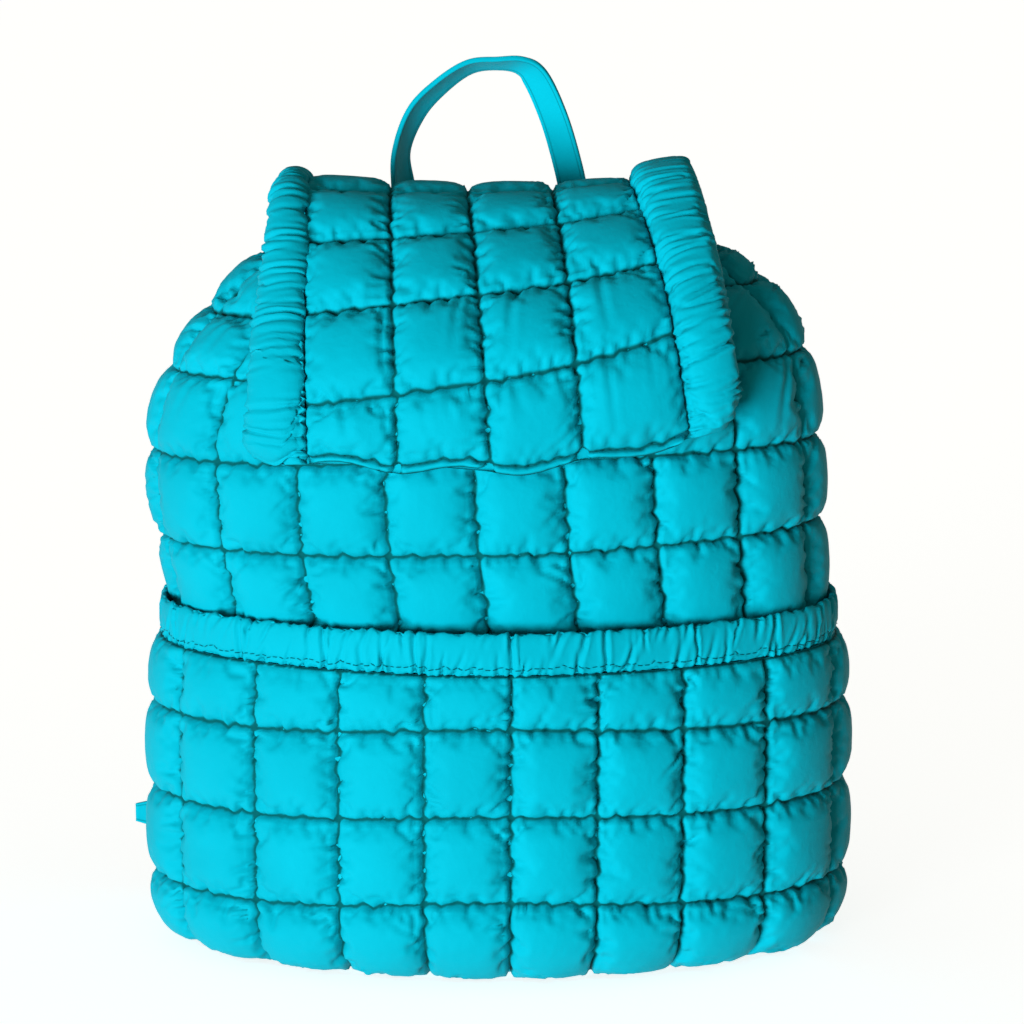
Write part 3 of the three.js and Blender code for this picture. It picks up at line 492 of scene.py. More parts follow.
def nylon(name, colour, crease, thread=0.00045):
    """Woven nylon: plain weave, soft crumple, and painted shade in its seams, creases and stitch rows."""
    look = new_look(name, {
        "Roughness": 0.62, "Specular IOR Level": 0.10, "Specular Tint": (0.05, 0.85, 1.0, 1),
        "Sheen Weight": 0.05, "Sheen Roughness": 0.5, "Sheen Tint": (0.05, 0.75, 0.85, 1),
    })
    place = new_node(look, "TexCoord", {}).outputs["Object"]
    cloth_map = new_node(look, "UVMap", {}, uv_map="cloth")
    patches = new_node(look, "TexNoise", {"Vector": place, "Scale": 22, "Detail": 3})
    tint = new_node(look, "ValToRGB", {"Fac": patches.outputs["Fac"]})
    for stop, position, share in zip(tint.color_ramp.elements, (0.3, 0.7), (0.93, 1.05)):
        stop.position = position
        stop.color = (*[share * c for c in colour], 1)
    # Painted shade: where the seam attribute is small (near a seam, crease or stitch row) the colour is mixed
    # towards the second, darker colour.
    seam = new_node(look, "Attribute", {}, attribute_name="seam")
    seam_shade_share = new_node(look, "MapRange", {
        "Value": seam.outputs["Fac"], "From Min": 0.0002, "From Max": 0.0012, "To Min": 1, "To Max": 0,
    }, interpolation_type="SMOOTHSTEP")
    seam_shade_mix = new_node(look, "Mix", {
        "Factor": seam_shade_share.outputs["Result"], "A": tint.outputs["Color"], "B": (*crease, 1),
    }, data_type="RGBA")
    # Warp and weft, one thread apart, and the cloth's small crumples.
    weave = new_node(look, "TexBrick", {
        "Vector": cloth_map.outputs["UV"], "Scale": 1, "Brick Width": 2 * thread, "Row Height": thread,
        "Mortar Size": 0.2 * thread, "Mortar Smooth": 1, "Color1": (1, 1, 1, 1),
        "Color2": (0.85, 0.85, 0.85, 1), "Mortar": (0, 0, 0, 1),
    })
    weave_bump = new_node(look, "Bump", {
        "Strength": 0.25, "Distance": 0.18 * thread, "Height": weave.outputs["Color"],
    })
    crumple = new_node(look, "TexNoise", {"Vector": place, "Scale": 260, "Detail": 4, "Distortion": 0.6})
    crumple_bump = new_node(look, "Bump", {
        "Strength": 0.35, "Distance": 0.0006, "Height": crumple.outputs["Fac"],
        "Normal": weave_bump.outputs["Normal"],
    })
    set_inputs(look, look.node_tree.nodes["Principled BSDF"], {
        "Base Color": seam_shade_mix.outputs["Result"], "Normal": crumple_bump.outputs["Normal"],
    })
    return look


# The second colour is painted shade, laid into the seams, creases and stitch rows.
cloth_look = nylon("teal_nylon", (0.0006, 0.34, 0.385), (0.001, 0.075, 0.070))
body_angle, body_seam_length, body_half = cloth_angles(0)
half_seam = side_seam_gap / 2
row_line = lambda row: lambda angle: row[0] + np.sin(angle) ** 2 * np.where(angle < 0, row[1], row[2])
body_columns = body_angle(np.array(
    seam_lines(quilt_pitch, quilt_offset, body_seam_length - half_seam, side_column)))
body_front, _ = quilted_panel(
    "quilted_body", body_surface, body_columns, [row_line(r) for r in body_rows], [r[3] for r in body_rows],
    cloth_look,
    {"puff": 0.0085, "step": 0.0027, "seed": 3, "pressure": 7, "end_fullness": 0.5,
     "loose": lambda u, v: (v - 0.74) / 0.2, "long": {6: 1, 7: 2, 8: 3, 9: 3}},
)
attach(body_front, "root")
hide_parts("body_front")

# The back: the same cloth in squares, a firmer panel between the two side seams, with less loft where it
# lies against the wearer.
back_quilt_pitch = 0.044
back_rows = (0, 0.12, 0.24, 0.36, 0.48, 0.6, 0.72, 0.83, 0.92, 1)
back_length = body_half - body_seam_length - half_seam
back_lines = np.array(seam_lines(back_quilt_pitch, 0, back_length, side_column))
back_columns = np.where(
    back_lines < 0, body_angle(body_half + back_lines), 2 * math.pi - body_angle(body_half - back_lines))
back, _ = quilted_panel(
    "quilted_back", body_surface, back_columns, [level(share) for share in back_rows],
    [1.0] * len(back_rows), cloth_look,
    {"puff": 0.006, "step": 0.0046, "seed": 8, "pressure": 4, "end_fullness": 0.5,
     "loose": lambda u, v: (v - 0.8) / 0.3},
)
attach(back, "root")
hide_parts("back_panel")

# The base: an oval of the same cloth in three rows, pressed flat where the bag stands on it.
base_puff = 0.0047
base_face = base_seam_height - seam_gap - wall


def base_surface(u, v):
    """A point of the oval, with u and v from -1 to 1 across and along it."""
    u, v = np.broadcast_arrays(np.asarray(u, float), np.asarray(v, float))
    across = -u * np.sqrt(1 - v * v / 2)
    endways = v * np.sqrt(1 - u * u / 2)
    depth = np.where(v < 0, front_depth, back_depth)
    rim = body_surface(np.arctan2(across * half_width, -endways * depth), 0 * u)
    place = rim * np.hypot(across, endways)[..., None]
    place[..., 2] = base_face
    return place


base_shares = lambda count: [2 * i / count - 1 for i in range(count + 1)]
base, _ = quilted_panel(
    "quilted_base", base_surface, base_shares(7), [level(share) for share in base_shares(3)],
    [1.0] * 4, cloth_look,
    {"puff": base_puff, "step": 0.006, "seed": 5, "pressure": 3, "flat": True,
     "normal": lambda u, v: np.zeros((*np.shape(u), 3)) + np.array((0, 0, -1.0))},
)
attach(base, "root")
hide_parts("base_panel")

# The front pocket: a second quilted shell sewn into the base seam and the two side seams. Its cloth stands
# off the body by its room, which closes towards those seams.
pocket_side_room = 0.0095
pocket_front_room = 0.0145
pocket_seam_gap = 0.0011
pocket_quilt_pitch = 0.0455
pocket_quilt_offset = 0.007
pocket_mouth_height = 0.178
pocket_casing_height = 0.022
pocket_side_run = 0.050
pocket_rows = (
    (0.0000, 0.000, 0.000, 1.30),
    (0.0977, -0.024, -0.020, 1.05),
    (0.2080, -0.020, -0.012, 1.00),
    (0.3196, -0.020, -0.016, 0.90),
    (0.3870, 0.000, 0.000, 0.00),
)
pocket_angle, pocket_seam_length, pocket_half = cloth_angles(pocket_seam_gap + wall + pocket_side_room)
pocket_foot = body_sections[3, 0]
mouth_along = along_at(pocket_mouth_height)
casing_along = along_at(pocket_mouth_height - pocket_casing_height)
rounding = lambda share: 1 - (1 - np.clip(share, 0, 1)) ** 2


def pocket_surface(angle, along):
    """A point of the pocket's cloth: the body's one, moved off by the pocket's room."""
    angle, along = np.broadcast_arrays(np.asarray(angle, float), np.asarray(along, float))
    side_share = (side_seam_angle - np.abs(angle)) * half_width / pocket_side_run
    facing = np.cos(angle).clip(0) ** 2
    room = pocket_side_room + (pocket_front_room - pocket_side_room) * facing
    drawn_in = (0.15 + 0.35 * np.sin(angle) ** 2) * ((along / mouth_along - 0.7) / 0.3).clip(0, 1)
    room = room * rounding(along / pocket_foot) * rounding(side_share) * (1 - drawn_in)
    lift = pocket_seam_gap + wall + room
    return body_surface(angle, along) + outward(body_surface, angle, along) * lift[..., None]


pocket_top = pocket_rows[-1][0]
pocket_half_length = pocket_seam_length - half_seam
pocket_lines = np.array(
    seam_lines(pocket_quilt_pitch, pocket_quilt_offset, pocket_half_length, side_column))
pocket_line = lambda row: lambda angle: row_line(row)(angle) / pocket_top * casing_along
pocket, _ = quilted_panel(
    "quilted_pocket", pocket_surface, pocket_angle(pocket_lines), [pocket_line(r) for r in pocket_rows],
    [r[3] for r in pocket_rows], cloth_look,
    {"puff": 0.0085, "step": 0.0027, "seed": 11, "pressure": 7, "end_fullness": 0.5},
)
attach(pocket, "root")
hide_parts("front_pocket")

# The flap: a quilted sheet that is sewn to the back, lies over the neck and hangs over the front, with a
# narrow rolled hem.
flap_half_width = 0.118
flap_crest_height = 0.372
flap_front_reach = 0.0925
flap_back_reach = 0.087
flap_length = 0.277
flap_hem_width = 0.0035
flap_row_pitch = 0.045
flap_first_row = 0.030
flap_fold = 0.6
flap_sag_end = 0.13
# How far along from the hem over the fold to the root, the shares of the reach and of the crest's height,
# the sag of the sides to the back in metres, and what the left and right sides gain in height.
flap_sections = np.array([
    (0.000, -1.000, 0.692, 0.0220, -0.004, 0.017),
    (0.108, -0.965, 0.772, 0.0225, -0.008, 0.016),
    (0.185, -0.880, 0.827, 0.0230, -0.008, 0.016),
    (0.270, -0.705, 0.878, 0.0220, -0.007, 0.015),
    (0.352, -0.510, 0.917, 0.0150, -0.005, 0.013),
    (0.432, -0.310, 0.950, 0.0090, -0.001, 0.011),
    (0.520, -0.075, 0.980, 0.0030, 0.004, 0.011),
    (0.600, 0.160, 0.997, 0.0000, 0.007, 0.012),
    (0.690, 0.430, 1.000, 0.0000, 0.007, 0.010),
    (0.770, 0.680, 0.988, -0.0010, 0.005, 0.007),
    (0.840, 0.870, 0.965, -0.0030, 0.002, 0.003),
    (0.900, 0.965, 0.932, -0.0050, 0.000, 0.000),
    (0.950, 1.000, 0.900, -0.0060, 0.000, 0.000),
    (1.000, 0.995, 0.862, -0.0060, 0.000, 0.000),
])
# The long seams from the left edge to the right one, as shares of the half width at the hem and the fold.
flap_lines = np.array([
    (-1.030, -0.930), (-0.755, -0.800), (-0.395, -0.450), (-0.025, -0.127), (0.344, 0.229),
    (0.771, 0.560), (0.985, 0.845),
])


def flap_surface(u, v):
    """A point of the flap: u counts its long seams from the left edge, v goes from the hem to the root."""
    u, v = np.broadcast_arrays(np.asarray(u, float), np.asarray(v, float))
    cell = np.clip(np.floor(u).astype(int), 0, len(flap_lines) - 2)
    lines, next_lines = flap_lines[cell], flap_lines[cell + 1]
    line_at = lambda end: lines[..., end] + (next_lines[..., end] - lines[..., end]) * (u - cell)
    across = line_at(0) + (line_at(1) - line_at(0)) * np.clip(v / flap_fold, 0, 1)
    side = across * across
    reach = between(flap_sections, 1, v)
    middle = reach * np.where(reach < 0, flap_front_reach, flap_back_reach)
    lift = np.where(across < 0, between(flap_sections, 4, v), between(flap_sections, 5, v)) * side
    # The hem sags between the bindings, and it waves.
    inside = (u - 1).clip(0, 4)
    sag = 0.0035 * np.sin(math.pi * inside / 4) - 0.0022 * np.sin(1.5 * math.pi * inside)
    lift = lift - sag * (1 - v / flap_sag_end).clip(0, 1) ** 1.5
    return np.stack([
        across * flap_half_width,
        middle + between(flap_sections, 3, v) * side,
        flap_crest_height * between(flap_sections, 2, v) + lift,
    ], -1)


flap_rows = [0, flap_hem_width, *np.arange(flap_first_row, flap_length, flap_row_pitch), flap_length]
# Each cross seam rises towards the right, most of all those that lie on the front.
flap_rises = [0, 0, 0.022, 0.022, 0.022, 0.012, 0.004, 0, 0]
flap_line = lambda seam, rise: lambda u: (seam + rise * ((u - 1) / 4) ** 1.4) / flap_length
flap, flap_seams = quilted_panel(
    "quilted_flap", flap_surface, [1, 2, 3, 4, 5],
    [flap_line(seam, rise) for seam, rise in zip(flap_rows, flap_rises)],
    [0.3, 1.0, 1.0, 1.0, 0.9, 0.7, 0.9, 0.3, 0], cloth_look,
    {"puff": 0.008, "step": 0.0027, "seed": 21, "pressure": 6, "long": {1: 4, 2: 1}},
)
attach(flap, "root")
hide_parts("flap")


# The flap's side bindings: tubes of the same nylon, gathered on their length, sewn along the flap's sides,
# with a rounded lower corner.
def ruched_tube(name, rings, sewn, look, gathers, seed, pressure, closed=False, cap=0.0022,
                crossings=(), stitched=()):
    """A gathered tube of cloth through rings of points, whose first and last points are one.

    The gathers are given as where they start and end round the tube, how far apart they are, how long,
    how slanted and how deep. Gives the piece, and the points and directions along each stitched row.
    """
    along, around = unit(np.gradient(rings, axis=0)), unit(np.gradient(rings, axis=1))
    out = unit(np.cross(around, along))
    middle = rings[:, :-1].mean(axis=1, keepdims=True)
    outwards = 1 if np.sum(out * (rings - middle)) > 0 else -1
    out = out * outwards
    length, girth = running_length(middle[:, 0]), running_length(rings[len(rings) // 2])
    held = np.broadcast_to(sewn[None, :], rings.shape[:2]).copy()
    held[0] = held[-1] = True
    shape = blow_up(rings, held, np.full(held.shape, 0.1), pressure, seed)
    rise = np.einsum("ijk,ijk->ij", shape - rings, out)
    shape = shape + out * (cap * np.tanh(rise / cap) - rise)[..., None]
    shape[:, -1] = shape[:, 0]
    if closed:
        shape[-1] = shape[0]
    outer, out = finer(shape), unit(finer(out))
    place = finer(np.stack(np.broadcast_arrays(length[:, None], girth), -1))
    seam = np.full(place.shape[:2], no_seam)
    first, last, spacing, reach, lean, size = gathers
    dice = np.random.RandomState(seed)
    marks, end_room = [], 0.004
    at = end_room
    while at < length[-1] - end_room:
        start = dice.uniform(*first) * girth[-1]
        end = start + dice.uniform(*reach) * (last * girth[-1] - start)
        if dice.rand() < 0.4:
            start, end = last * girth[-1], last * girth[-1] - (end - start)
        marks.append(((at, start), (at + (end - start) * dice.uniform(*lean), end),
                      dice.uniform(0.0008, 0.0013), size * dice.uniform(0.5, 1.1)))
        at += spacing * dice.uniform(0.35, 1.5)
    # Seams that cross the tube, and rows of stitches along it.
    crossing_width, crossing_depth = 0.0010, 0.0022
    for at in crossings:
        for start, end in ((first[0], 0.6), (last, 0.4)):
            marks.append(((at, start * girth[-1]), (at, end * girth[-1]), crossing_width, crossing_depth))
    pinch(outer, out, place, seam, marks)
    rows_of_stitches, dent, dent_width, stitch_shade_fade = [], 0.0006, 0.0008, 0.0009
    for column in stitched:
        across = np.abs(place[..., 1] - place[..., 2 * column, 1][:, None])
        outer -= out * (dent * np.exp(-(across / dent_width) ** 2))[..., None]
        # Painted shade along the row of stitches, through the seam attribute.
        seam = np.minimum(seam, stitch_shade_fade + across)
        rows_of_stitches.append((outer[:, 2 * column].copy(), out[:, 2 * column]))
    outer[:, -1] = outer[:, 0]
    if closed:
        outer[-1] = outer[0]
    index = np.arange(place[..., 0].size).reshape(place.shape[:2])
    index[:, -1] = index[:, 0]
    if closed:
        index[-1] = index[0]
    faces = squares(index).tolist()
    if not closed:
        faces += [index[0, -2::-1].tolist(), index[-1, :-1].tolist()]
    if outwards > 0:
        faces = [face[::-1] for face in faces]
    used = np.unique(np.concatenate(faces))
    order = np.full(index.size, -1)
    order[used] = np.arange(len(used))
    faces = [order[face] for face in faces]
    points, lengths = outer.reshape(-1, 3)[used], place.reshape(-1, 2)[used]
    piece = add_mesh(name, points, faces, look, lengths, seam.ravel()[used])
    return piece, rows_of_stitches


binding_thickness = 0.011
binding_seam_gap = 0.00045
binding_height = 0.86 * binding_thickness
binding_corner = 0.016
binding_tip = 0.010
for side, seam, rim in (("left", 1, 0), ("right", 5, 6)):
    v = np.linspace(0, 1, 136)
    turn = np.linspace(0, 2 * math.pi, 33)
    across = 0.5 - 0.5 * np.cos(turn)
    rise = np.where(turn < math.pi, np.sin(turn).clip(0) ** 0.75, -0.25 * np.abs(np.sin(turn)))
    reach = np.linalg.norm(flap_surface(seam, v) - flap_surface(rim, v), axis=1)
    corner = 1 - 0.45 * (1 - np.sqrt(1 - (1 - v * flap_length / binding_corner).clip(0) ** 2))
    share = (binding_seam_gap + np.outer((reach - binding_seam_gap) * corner, across)) / reach[:, None]
    u = seam + (rim - seam) * share
    rings = flap_surface(u, v[:, None])
    tip = (0.35 + 0.65 * np.sqrt((v * flap_length / binding_tip).clip(0, 1)))[:, None]
    rings = rings + outward(flap_surface, u, v[:, None]) * (binding_height * rise * tip)[..., None]
    # Sewn at its inner edge and flat on the flap's under side; the flap's cross seams run on over it.
    sewn = (turn < 0.25) | (turn > math.pi + 0.6)
    seam_places = [at + (gain if side == "right" else 0) for at, gain in zip(flap_rows, flap_rises)]
    binding, _ = ruched_tube(
        f"ruched_binding_{side}", rings, sewn, cloth_look,
        ((0.0, 0.04), 0.5, 0.0042, (0.3, 0.95), (-0.15, 0.15), 0.0024), 31 + seam, 4,
        crossings=seam_places[1:6])
    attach(binding, "root")
    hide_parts(f"flap_binding_{side}")


# The pocket's casing: a flat tube of nylon gathered over elastic, sewn to the pocket's upper edge, with a
# row of stitches below its middle.
def rounded(values, power):
    """Cosines or sines of an oval, raised to a power that makes it squarer."""
    return np.sign(values) * np.abs(values) ** power


casing_thickness = 0.0054
casing_start = casing_along * (1 + seam_gap / (pocket_mouth_height - pocket_casing_height))
casing_middle = (casing_start + mouth_along) / 2
casing_half = float(pocket_surface(0, mouth_along)[2] - pocket_surface(0, casing_start)[2]) / 2
casing_angles = pocket_angle(np.linspace(-1, 1, 281) * pocket_half_length)[:, None]
turn = np.linspace(-math.pi, math.pi, 33)
round_out, round_up = rounded(np.cos(turn), 0.7), rounded(np.sin(turn), 0.9)
middle = pocket_surface(casing_angles, casing_middle)
out = outward(pocket_surface, casing_angles, casing_middle)
# The casing is slightly fuller than its solid and stands a little lower on the pocket's edge.
fuller, lower = 0.56, 0.07
rings = (middle + out * (casing_thickness / 2 - wall + casing_thickness * fuller * round_out)[None, :, None]
         + np.array((0, 0, 1.0)) * (casing_half * ((1 - lower) * round_up - lower))[None, :, None])
stitched_at = -0.5
casing, casing_rows = ruched_tube(
    "ruched_pocket_casing", rings, np.cos(turn) < -0.05, cloth_look,
    ((0.27, 0.30), 0.74, 0.0068, (0.35, 1.0), (-0.1, 0.7), 0.0020), 41, 5, cap=0.0016,
    crossings=pocket_lines[2:-2] + pocket_half_length, stitched=[int(np.argmin(np.abs(turn - stitched_at)))])
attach(casing, "root")
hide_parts("pocket_casing")

# The neck's casing: a gathered tube that stands in the body's mouth and holds its drawn-in edge.
neck_casing_height = 0.018
neck_casing_thickness = 0.008
neck_casing_sink = 0.008
neck_angles = np.linspace(0, 2 * math.pi, 181)[:, None]
mouth = body_surface(neck_angles, 1.0)
centre = np.array((0, front_depth * between(body_sections, 5, 1.0), neck_height))
out = unit((mouth - centre) * (1, 1, 0))
turn = np.linspace(-math.pi, math.pi, 25)
standing = neck_casing_height / 2 * (1 + np.sin(turn)) - neck_casing_sink
rings = (mouth - out * (seam_gap + wall / 2 + neck_casing_thickness / 2)
         + out * (neck_casing_thickness / 2 * np.cos(turn))[None, :, None]
         + np.array((0, 0, 1.0)) * standing[None, :, None])
rings[-1] = rings[0]
neck, _ = ruched_tube(
    "ruched_neck_casing", rings, np.abs(np.sin(turn)) > 0.97, cloth_look,
    ((0.0, 0.9), 1.0, 0.003, (0.3, 0.9), (-0.1, 0.1), 0.0012), 51, 3, closed=True, cap=0.001)
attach(neck, "root")
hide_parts("neck_casing")

# The carrying loop: a folded strip of the nylon with stitched edges, its ends sewn under the flap's root;
# it turns on its way and folds over at the top.
loop_width = 0.015
loop_thickness = 0.0025
loop_half_span = 0.049
loop_top_height = 0.433
loop_root_height = 0.318
# Shares of the half span, of the height and of the flap's reach to the back, and the turn in degrees.
loop_sections = np.array([
    (-0.96, 0.000, 0.985, 0), (-0.96, 0.022, 1.040, 0), (-0.97, 0.070, 1.085, 5), (-0.98, 0.230, 1.110, 15),
    (-1.00, 0.420, 1.080, 40), (-1.02, 0.600, 1.010, 60), (-0.86, 0.780, 0.970, 55),
    (-0.60, 0.900, 0.950, 60), (-0.30, 0.985, 0.940, 65), (0.00, 1.000, 0.940, 68),
    (0.24, 0.990, 0.940, 55), (0.40, 0.930, 0.940, 30), (0.58, 0.760, 0.950, 20), (0.72, 0.560, 0.990, 15),
    (0.80, 0.400, 1.060, 10), (0.86, 0.220, 1.110, 8), (0.90, 0.070, 1.085, 4), (0.92, 0.022, 1.040, 0),
    (0.92, 0.000, 0.985, 0),
])


def face_outwards(piece):
    """Turns all faces of a piece outwards."""
    bpy.ops.object.select_all(action="DESELECT")
    piece.select_set(True)
    bpy.context.view_layer.objects.active = piece
    bpy.ops.object.mode_set(mode="EDIT")
    bpy.ops.mesh.select_all(action="SELECT")
    bpy.ops.mesh.normals_make_consistent(inside=False)
    bpy.ops.object.mode_set(mode="OBJECT")


def tape(name, places, wide, width, thickness, look):
    """A flat strip with rounded, slightly thicker edges, along a row of places and width directions."""
    forwards = unit(np.gradient(places, axis=0))
    wide = unit(wide - forwards * np.sum(wide * forwards, axis=1, keepdims=True))
    thick = unit(np.cross(wide, forwards))
    section = np.array([(-1, -0.5), (-0.97, -1), (-0.86, -1.05), (-0.74, -0.8), (0, -0.9), (0.74, -0.8),
                        (0.86, -1.05), (0.97, -1), (1, -0.5)])
    section = np.concatenate([section, section[::-1] * (1, -1)])
    widths = np.broadcast_to(width, len(places))
    sideways = widths[:, None] / 2 * section[None, :, 0]
    points = (places[:, None] + wide[:, None] * sideways[..., None]
              + thick[:, None] * (section[:, 1] * thickness / 2)[None, :, None])
    index = np.arange(sideways.size).reshape(sideways.shape)
    faces = squares(np.concatenate([index, index[:, :1]], axis=1)).tolist()
    faces += [index[0][::-1].tolist(), index[-1].tolist()]
    uv = np.stack(np.broadcast_arrays(sideways, running_length(places)[:, None]), -1)
    # A stitched line runs along each edge, drawn only as painted shade through the seam attribute.
    line_share, stitch_shade_fade = 0.37, 0.0006
    stitched = np.abs(np.abs(sideways) - line_share * widths[:, None]) + stitch_shade_fade
    piece = add_mesh(name, points.reshape(-1, 3), faces, look, uv.reshape(-1, 2), stitched.ravel())
    face_outwards(piece)
    return piece


steps = np.arange(len(loop_sections)) / (len(loop_sections) - 1)
table = np.column_stack([steps, loop_sections])
fine = np.linspace(0, 1, 181)
places = np.stack([
    loop_half_span * between(table, 1, fine),
    flap_back_reach * between(table, 3, fine),
    loop_root_height + (loop_top_height - loop_root_height) * between(table, 2, fine),
], -1)
forwards = unit(np.gradient(places, axis=0))
thick = unit(np.array((0, 1.0, 0)) - forwards * forwards[:, 1:2])
turn = np.radians(between(table, 4, fine))[:, None]
thick = thick * np.cos(turn) + np.cross(forwards, thick) * np.sin(turn)
loop = tape("carrying_loop", places, np.cross(forwards, thick), loop_width, loop_thickness, cloth_look)
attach(loop, "root")
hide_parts("top_loop")
loop_length = float(running_length(places)[-1])

# The shoulder straps: padded strips of the nylon behind the bag, out of the photograph's sight and finished
# plainly, sewn to the back under the flap, with a seam along each edge.
strap_top_height = 0.314
strap_spacing = 0.060
pad_width = 0.048
pad_thickness = 0.010
pad_foot_height = 0.150
strap_bow = 0.048
pad_spread = 0.032
back_puff = 0.006
# How far down, the bow away from the back and the outward spread.
pad_sections = np.array([
    (0.00, 0.000, 0.00), (0.04, 0.130, 0.00), (0.12, 0.380, 0.02), (0.25, 0.700, 0.08),
    (0.42, 0.950, 0.22), (0.60, 1.000, 0.42), (0.80, 0.930, 0.70), (1.00, 0.800, 1.00),
])
strap_along = along_at(strap_top_height)
strap_shift = front_depth * between(body_sections, 5, strap_along)
back_centre = float(body_surface(np.array([math.pi]), strap_along)[0, 1])
strap_share = strap_spacing / (half_width * between(body_sections, 2, strap_along))
flatness = (1 - strap_share ** back_squareness) ** (1 / back_squareness)
strap_root = strap_shift + (back_centre - strap_shift) * flatness + back_puff + seam_gap
pad_seam = 0.0175
pad_seam_reach = 0.0012
for side, sign in (("left", -1), ("right", 1)):
    drop = np.linspace(0, 1, 81)
    places = np.stack([
        sign * (strap_spacing + pad_spread * between(pad_sections, 2, drop)),
        strap_root + strap_bow * between(pad_sections, 1, drop),
        strap_top_height - drop * (strap_top_height - pad_foot_height),
    ], -1)
    forwards = unit(np.gradient(places, axis=0))
    out = unit(np.stack([0 * drop, -forwards[:, 2], forwards[:, 1]], -1))
    # The foot is turned to stand over the adjuster, and both ends grow thin.
    turned = ((drop - 0.85) / 0.15).clip(0, 1)[:, None]
    out = unit(out * (1 - turned) + np.array((0, 1.0, 0)) * turned)
    foot = np.sqrt(1 - ((drop - 0.965) / 0.037).clip(0, 1) ** 2)
    thick = wall + (pad_thickness - wall) * np.sqrt((drop / 0.05).clip(0, 1)) * foot
    turn = np.linspace(0, 2 * math.pi, 41)
    across = rounded(np.cos(turn), 0.7) * pad_width / 2
    rise = 0.5 + 0.5 * rounded(np.sin(turn), 0.7)
    rings = (places[:, None] + np.array((1.0, 0, 0)) * across[None, :, None]
             + out[:, None] * (thick[:, None] * rise)[..., None])
    rings[:, -1] = rings[:, 0]
    sewn = (np.abs(across) > 0.47 * pad_width) | (np.abs(np.abs(across) - pad_seam) < pad_seam_reach)
    pad, _ = ruched_tube(
        f"shoulder_pad_{side}", rings, sewn, cloth_look,
        ((0.06, 0.08), 0.44, 0.0075, (0.12, 0.3), (-0.3, 0.3), 0.0008), 61, 3, cap=0.0012)
    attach(pad, "root")
    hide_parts(f"strap_pad_{side}")

# The adjusters below the pads are moulded of plastic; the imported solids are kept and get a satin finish.
web_width = 0.022
web_thickness = 0.002
slider_length = 0.018
moulded = new_look("teal_moulding", {"Base Color": (0.001, 0.15, 0.17, 1)})
grain_place = new_node(moulded, "TexCoord", {})
grain = new_node(moulded, "TexNoise", {"Vector": grain_place.outputs["Object"], "Scale": 900})
satin = new_node(moulded, "MapRange", {"Value": grain.outputs["Fac"], "To Min": 0.34, "To Max": 0.50})
moulded_shader = moulded.node_tree.nodes["Principled BSDF"]
set_inputs(moulded, moulded_shader, {"Roughness": satin.outputs["Result"]})
for side in ("left", "right"):
    for material_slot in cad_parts[f"strap_slider_{side}"].material_slots:
        material_slot.material = moulded

# The tabs at the foot of the side seams: each a piece of the nylon folded to three corners, its long edge in
# the seam. The webbing is sewn to the tab's point and runs up to the adjuster.
tab_length = 0.058
tab_height = 0.040
tab_tip_height = 0.0096
tab_centre_height = 0.040
tab_curl = 0.0012
# The webbing is the teal nylon made darker: painted shade for the shadow it hangs in. Its second colour is
# painted shade in its stitched lines.
shaded_web_look = nylon("teal_webbing_shaded", (0.0006, 0.27, 0.31), (0.001, 0.075, 0.070), thread=0.0014)


def smooth_route(points, shares):
    """A centripetal curve through a few chosen points, at shares of its way."""
    points = np.asarray(points, float)
    points = np.concatenate([2 * points[:1] - points[1:2], points, 2 * points[-1:] - points[-2:-1]])
    gaps = np.linalg.norm(np.diff(points, axis=0), axis=1) ** 0.5
    spans = len(points) - 3
    route = []
    for share in shares:
        i = min(int(share * spans), spans - 1)
        t = share * spans - i
        p0, p1, p2, p3 = points[i:i + 4]
        before, here, after = gaps[i:i + 3]
        leave = ((p1 - p0) / before - (p2 - p0) / (before + here) + (p2 - p1) / here) * here
        reach = ((p2 - p1) / here - (p3 - p1) / (here + after) + (p3 - p2) / after) * here
        keep = (1 + 2 * t) * (1 - t) ** 2
        route.append(keep * p1 + (1 - keep) * p2 + t * (1 - t) ** 2 * leave - t ** 2 * (1 - t) * reach)
    return np.array(route)


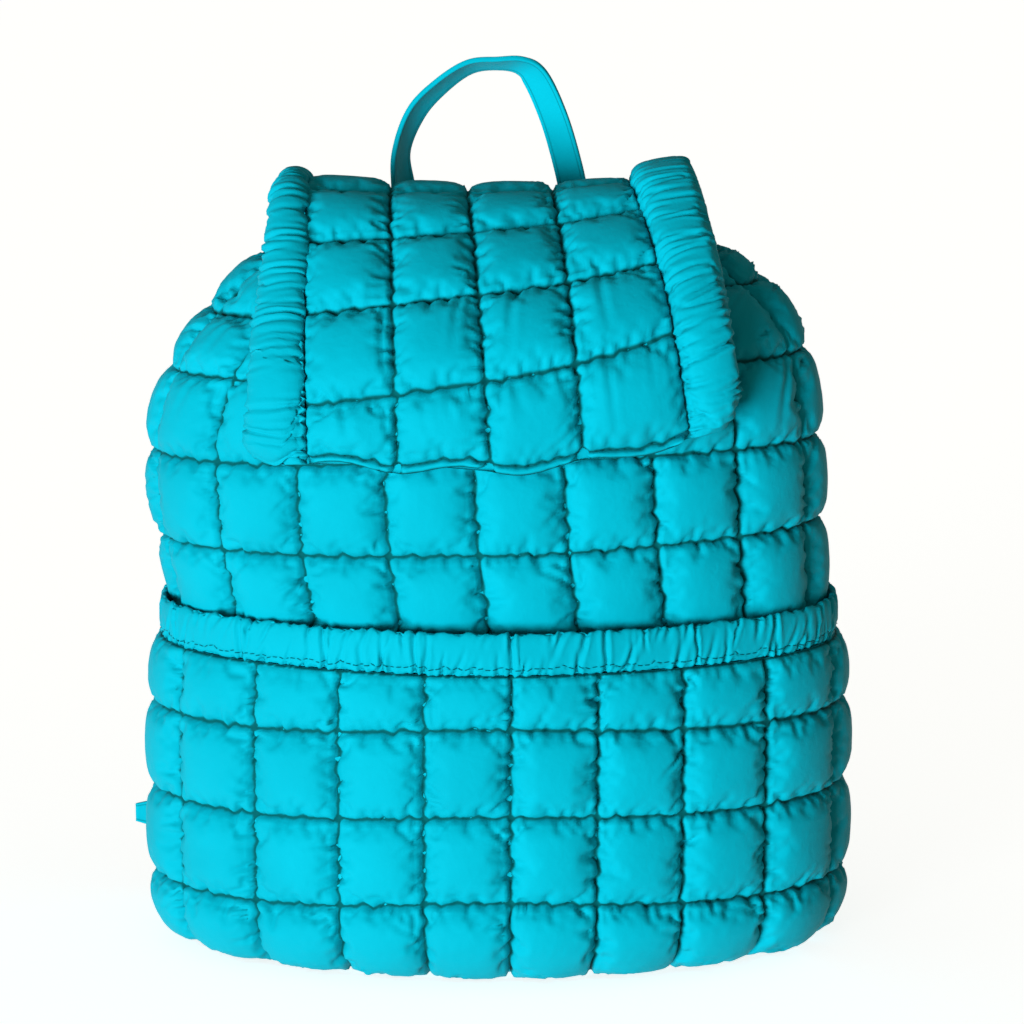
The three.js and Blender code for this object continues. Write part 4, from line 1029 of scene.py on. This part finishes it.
for side, sign, swing in (("left", -1, math.radians(12)), ("right", 1, math.radians(38))):
    tab_along = along_at(tab_centre_height)
    tab_angle = np.array([sign * (side_seam_angle + (seam_gap + wall) / half_width)])
    start = body_surface(tab_angle, tab_along)[0]
    start = start + outward(body_surface, tab_angle, tab_along)[0] * (wall + seam_gap)
    pointing = np.array((sign * math.cos(swing), math.sin(swing), 0))
    facing = np.array((-sign * pointing[1], sign * pointing[0], 0))
    share = np.linspace(0, 1, 41)
    curl = tab_curl * np.sin(math.pi * share)
    tab = tape(
        f"folded_tab_{side}", start + np.outer(share * tab_length, pointing) + np.outer(curl, facing),
        np.array((0, 0, 1.0)) + 0 * share[:, None], tab_height + (tab_tip_height - tab_height) * share,
        wall, cloth_look)
    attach(tab, "root")
    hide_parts(f"strap_tab_{side}")

    top = np.array((
        sign * (strap_spacing + pad_spread),
        strap_root + pad_sections[-1, 1] * strap_bow + pad_thickness / 2,
        pad_foot_height - 2 * seam_gap - slider_length))
    end = start + pointing * (tab_length - web_width) + facing * ((wall + web_thickness) / 2 + 3 * seam_gap)
    above = end + 0.35 * (top - end)
    above[2] = end[2] + tab_height
    near = end + 0.03 * (top - end)
    near[2] = end[2] + tab_height / 3
    steps = np.linspace(0, 1, 91)
    places = smooth_route([top, top - (0, 0, slider_length), above, near, end], steps)
    forwards = unit(np.gradient(places, axis=0))
    thick = np.outer(1 - steps, (0, 1.0, 0)) + np.outer(steps, facing)
    thick = unit(thick - forwards * np.sum(forwards * thick, axis=1, keepdims=True))
    web = tape(f"webbing_{side}", places, np.cross(forwards, thick), web_width, web_thickness, shaded_web_look)
    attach(web, "root")
    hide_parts(f"strap_web_{side}")
    float(running_length(places)[-1])

# Thread: short lock stitches along the flap's hem and below the middle of the pocket's casing.
stitch_pitch = 0.0036
stitch_length = 0.0025
stitch_radius = 0.00026
thread_look = nylon("teal_thread", (0.001, 0.10, 0.11), (0.001, 0.10, 0.11))


def stitches(name, line, first, last):
    """A row of stitches on a line of points and directions, from one distance to another from its ends."""
    places, normals = line
    length = running_length(places)
    at = np.arange(first + stitch_pitch, length[-1] - last - stitch_pitch, stitch_pitch)
    value_at = lambda where, values: np.stack([np.interp(where, length, values[:, k]) for k in range(3)], -1)
    along = unit(value_at(at + 0.001, places) - value_at(at - 0.001, places))[:, None, None]
    up = unit(value_at(at, normals))[:, None, None]
    side = unit(np.cross(along, up))
    # Where the rings of a stitch lie on its length, and how thick it is there.
    share, size = np.array(((-0.5, 0.3), (-0.36, 1.0), (0.36, 1.0), (0.5, 0.3))).T[:, :, None, None]
    turn = math.pi / 3 * np.arange(6)[:, None]
    points = (value_at(at, places)[:, None, None] + along * share * stitch_length + up * stitch_radius * 1.1
              + (side * np.cos(turn) + up * np.sin(turn)) * stitch_radius * size)
    index = np.arange(points[..., 0].size).reshape(points.shape[:3])
    around = np.concatenate([index, index[..., :1]], axis=2)
    faces = np.concatenate([squares(rod) for rod in around]).tolist()
    faces += index[:, 0, ::-1].tolist() + index[:, -1].tolist()
    points = points.reshape(-1, 3)
    piece = add_mesh(name, points, faces, thread_look, points[:, [0, 2]], np.full(len(points), no_seam))
    face_outwards(piece)
    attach(piece, "root")


stitches("hem_stitches", flap_seams[0], 0.0, 0.0)
stitches("casing_stitches", casing_rows[0], 0.012, 0.012)
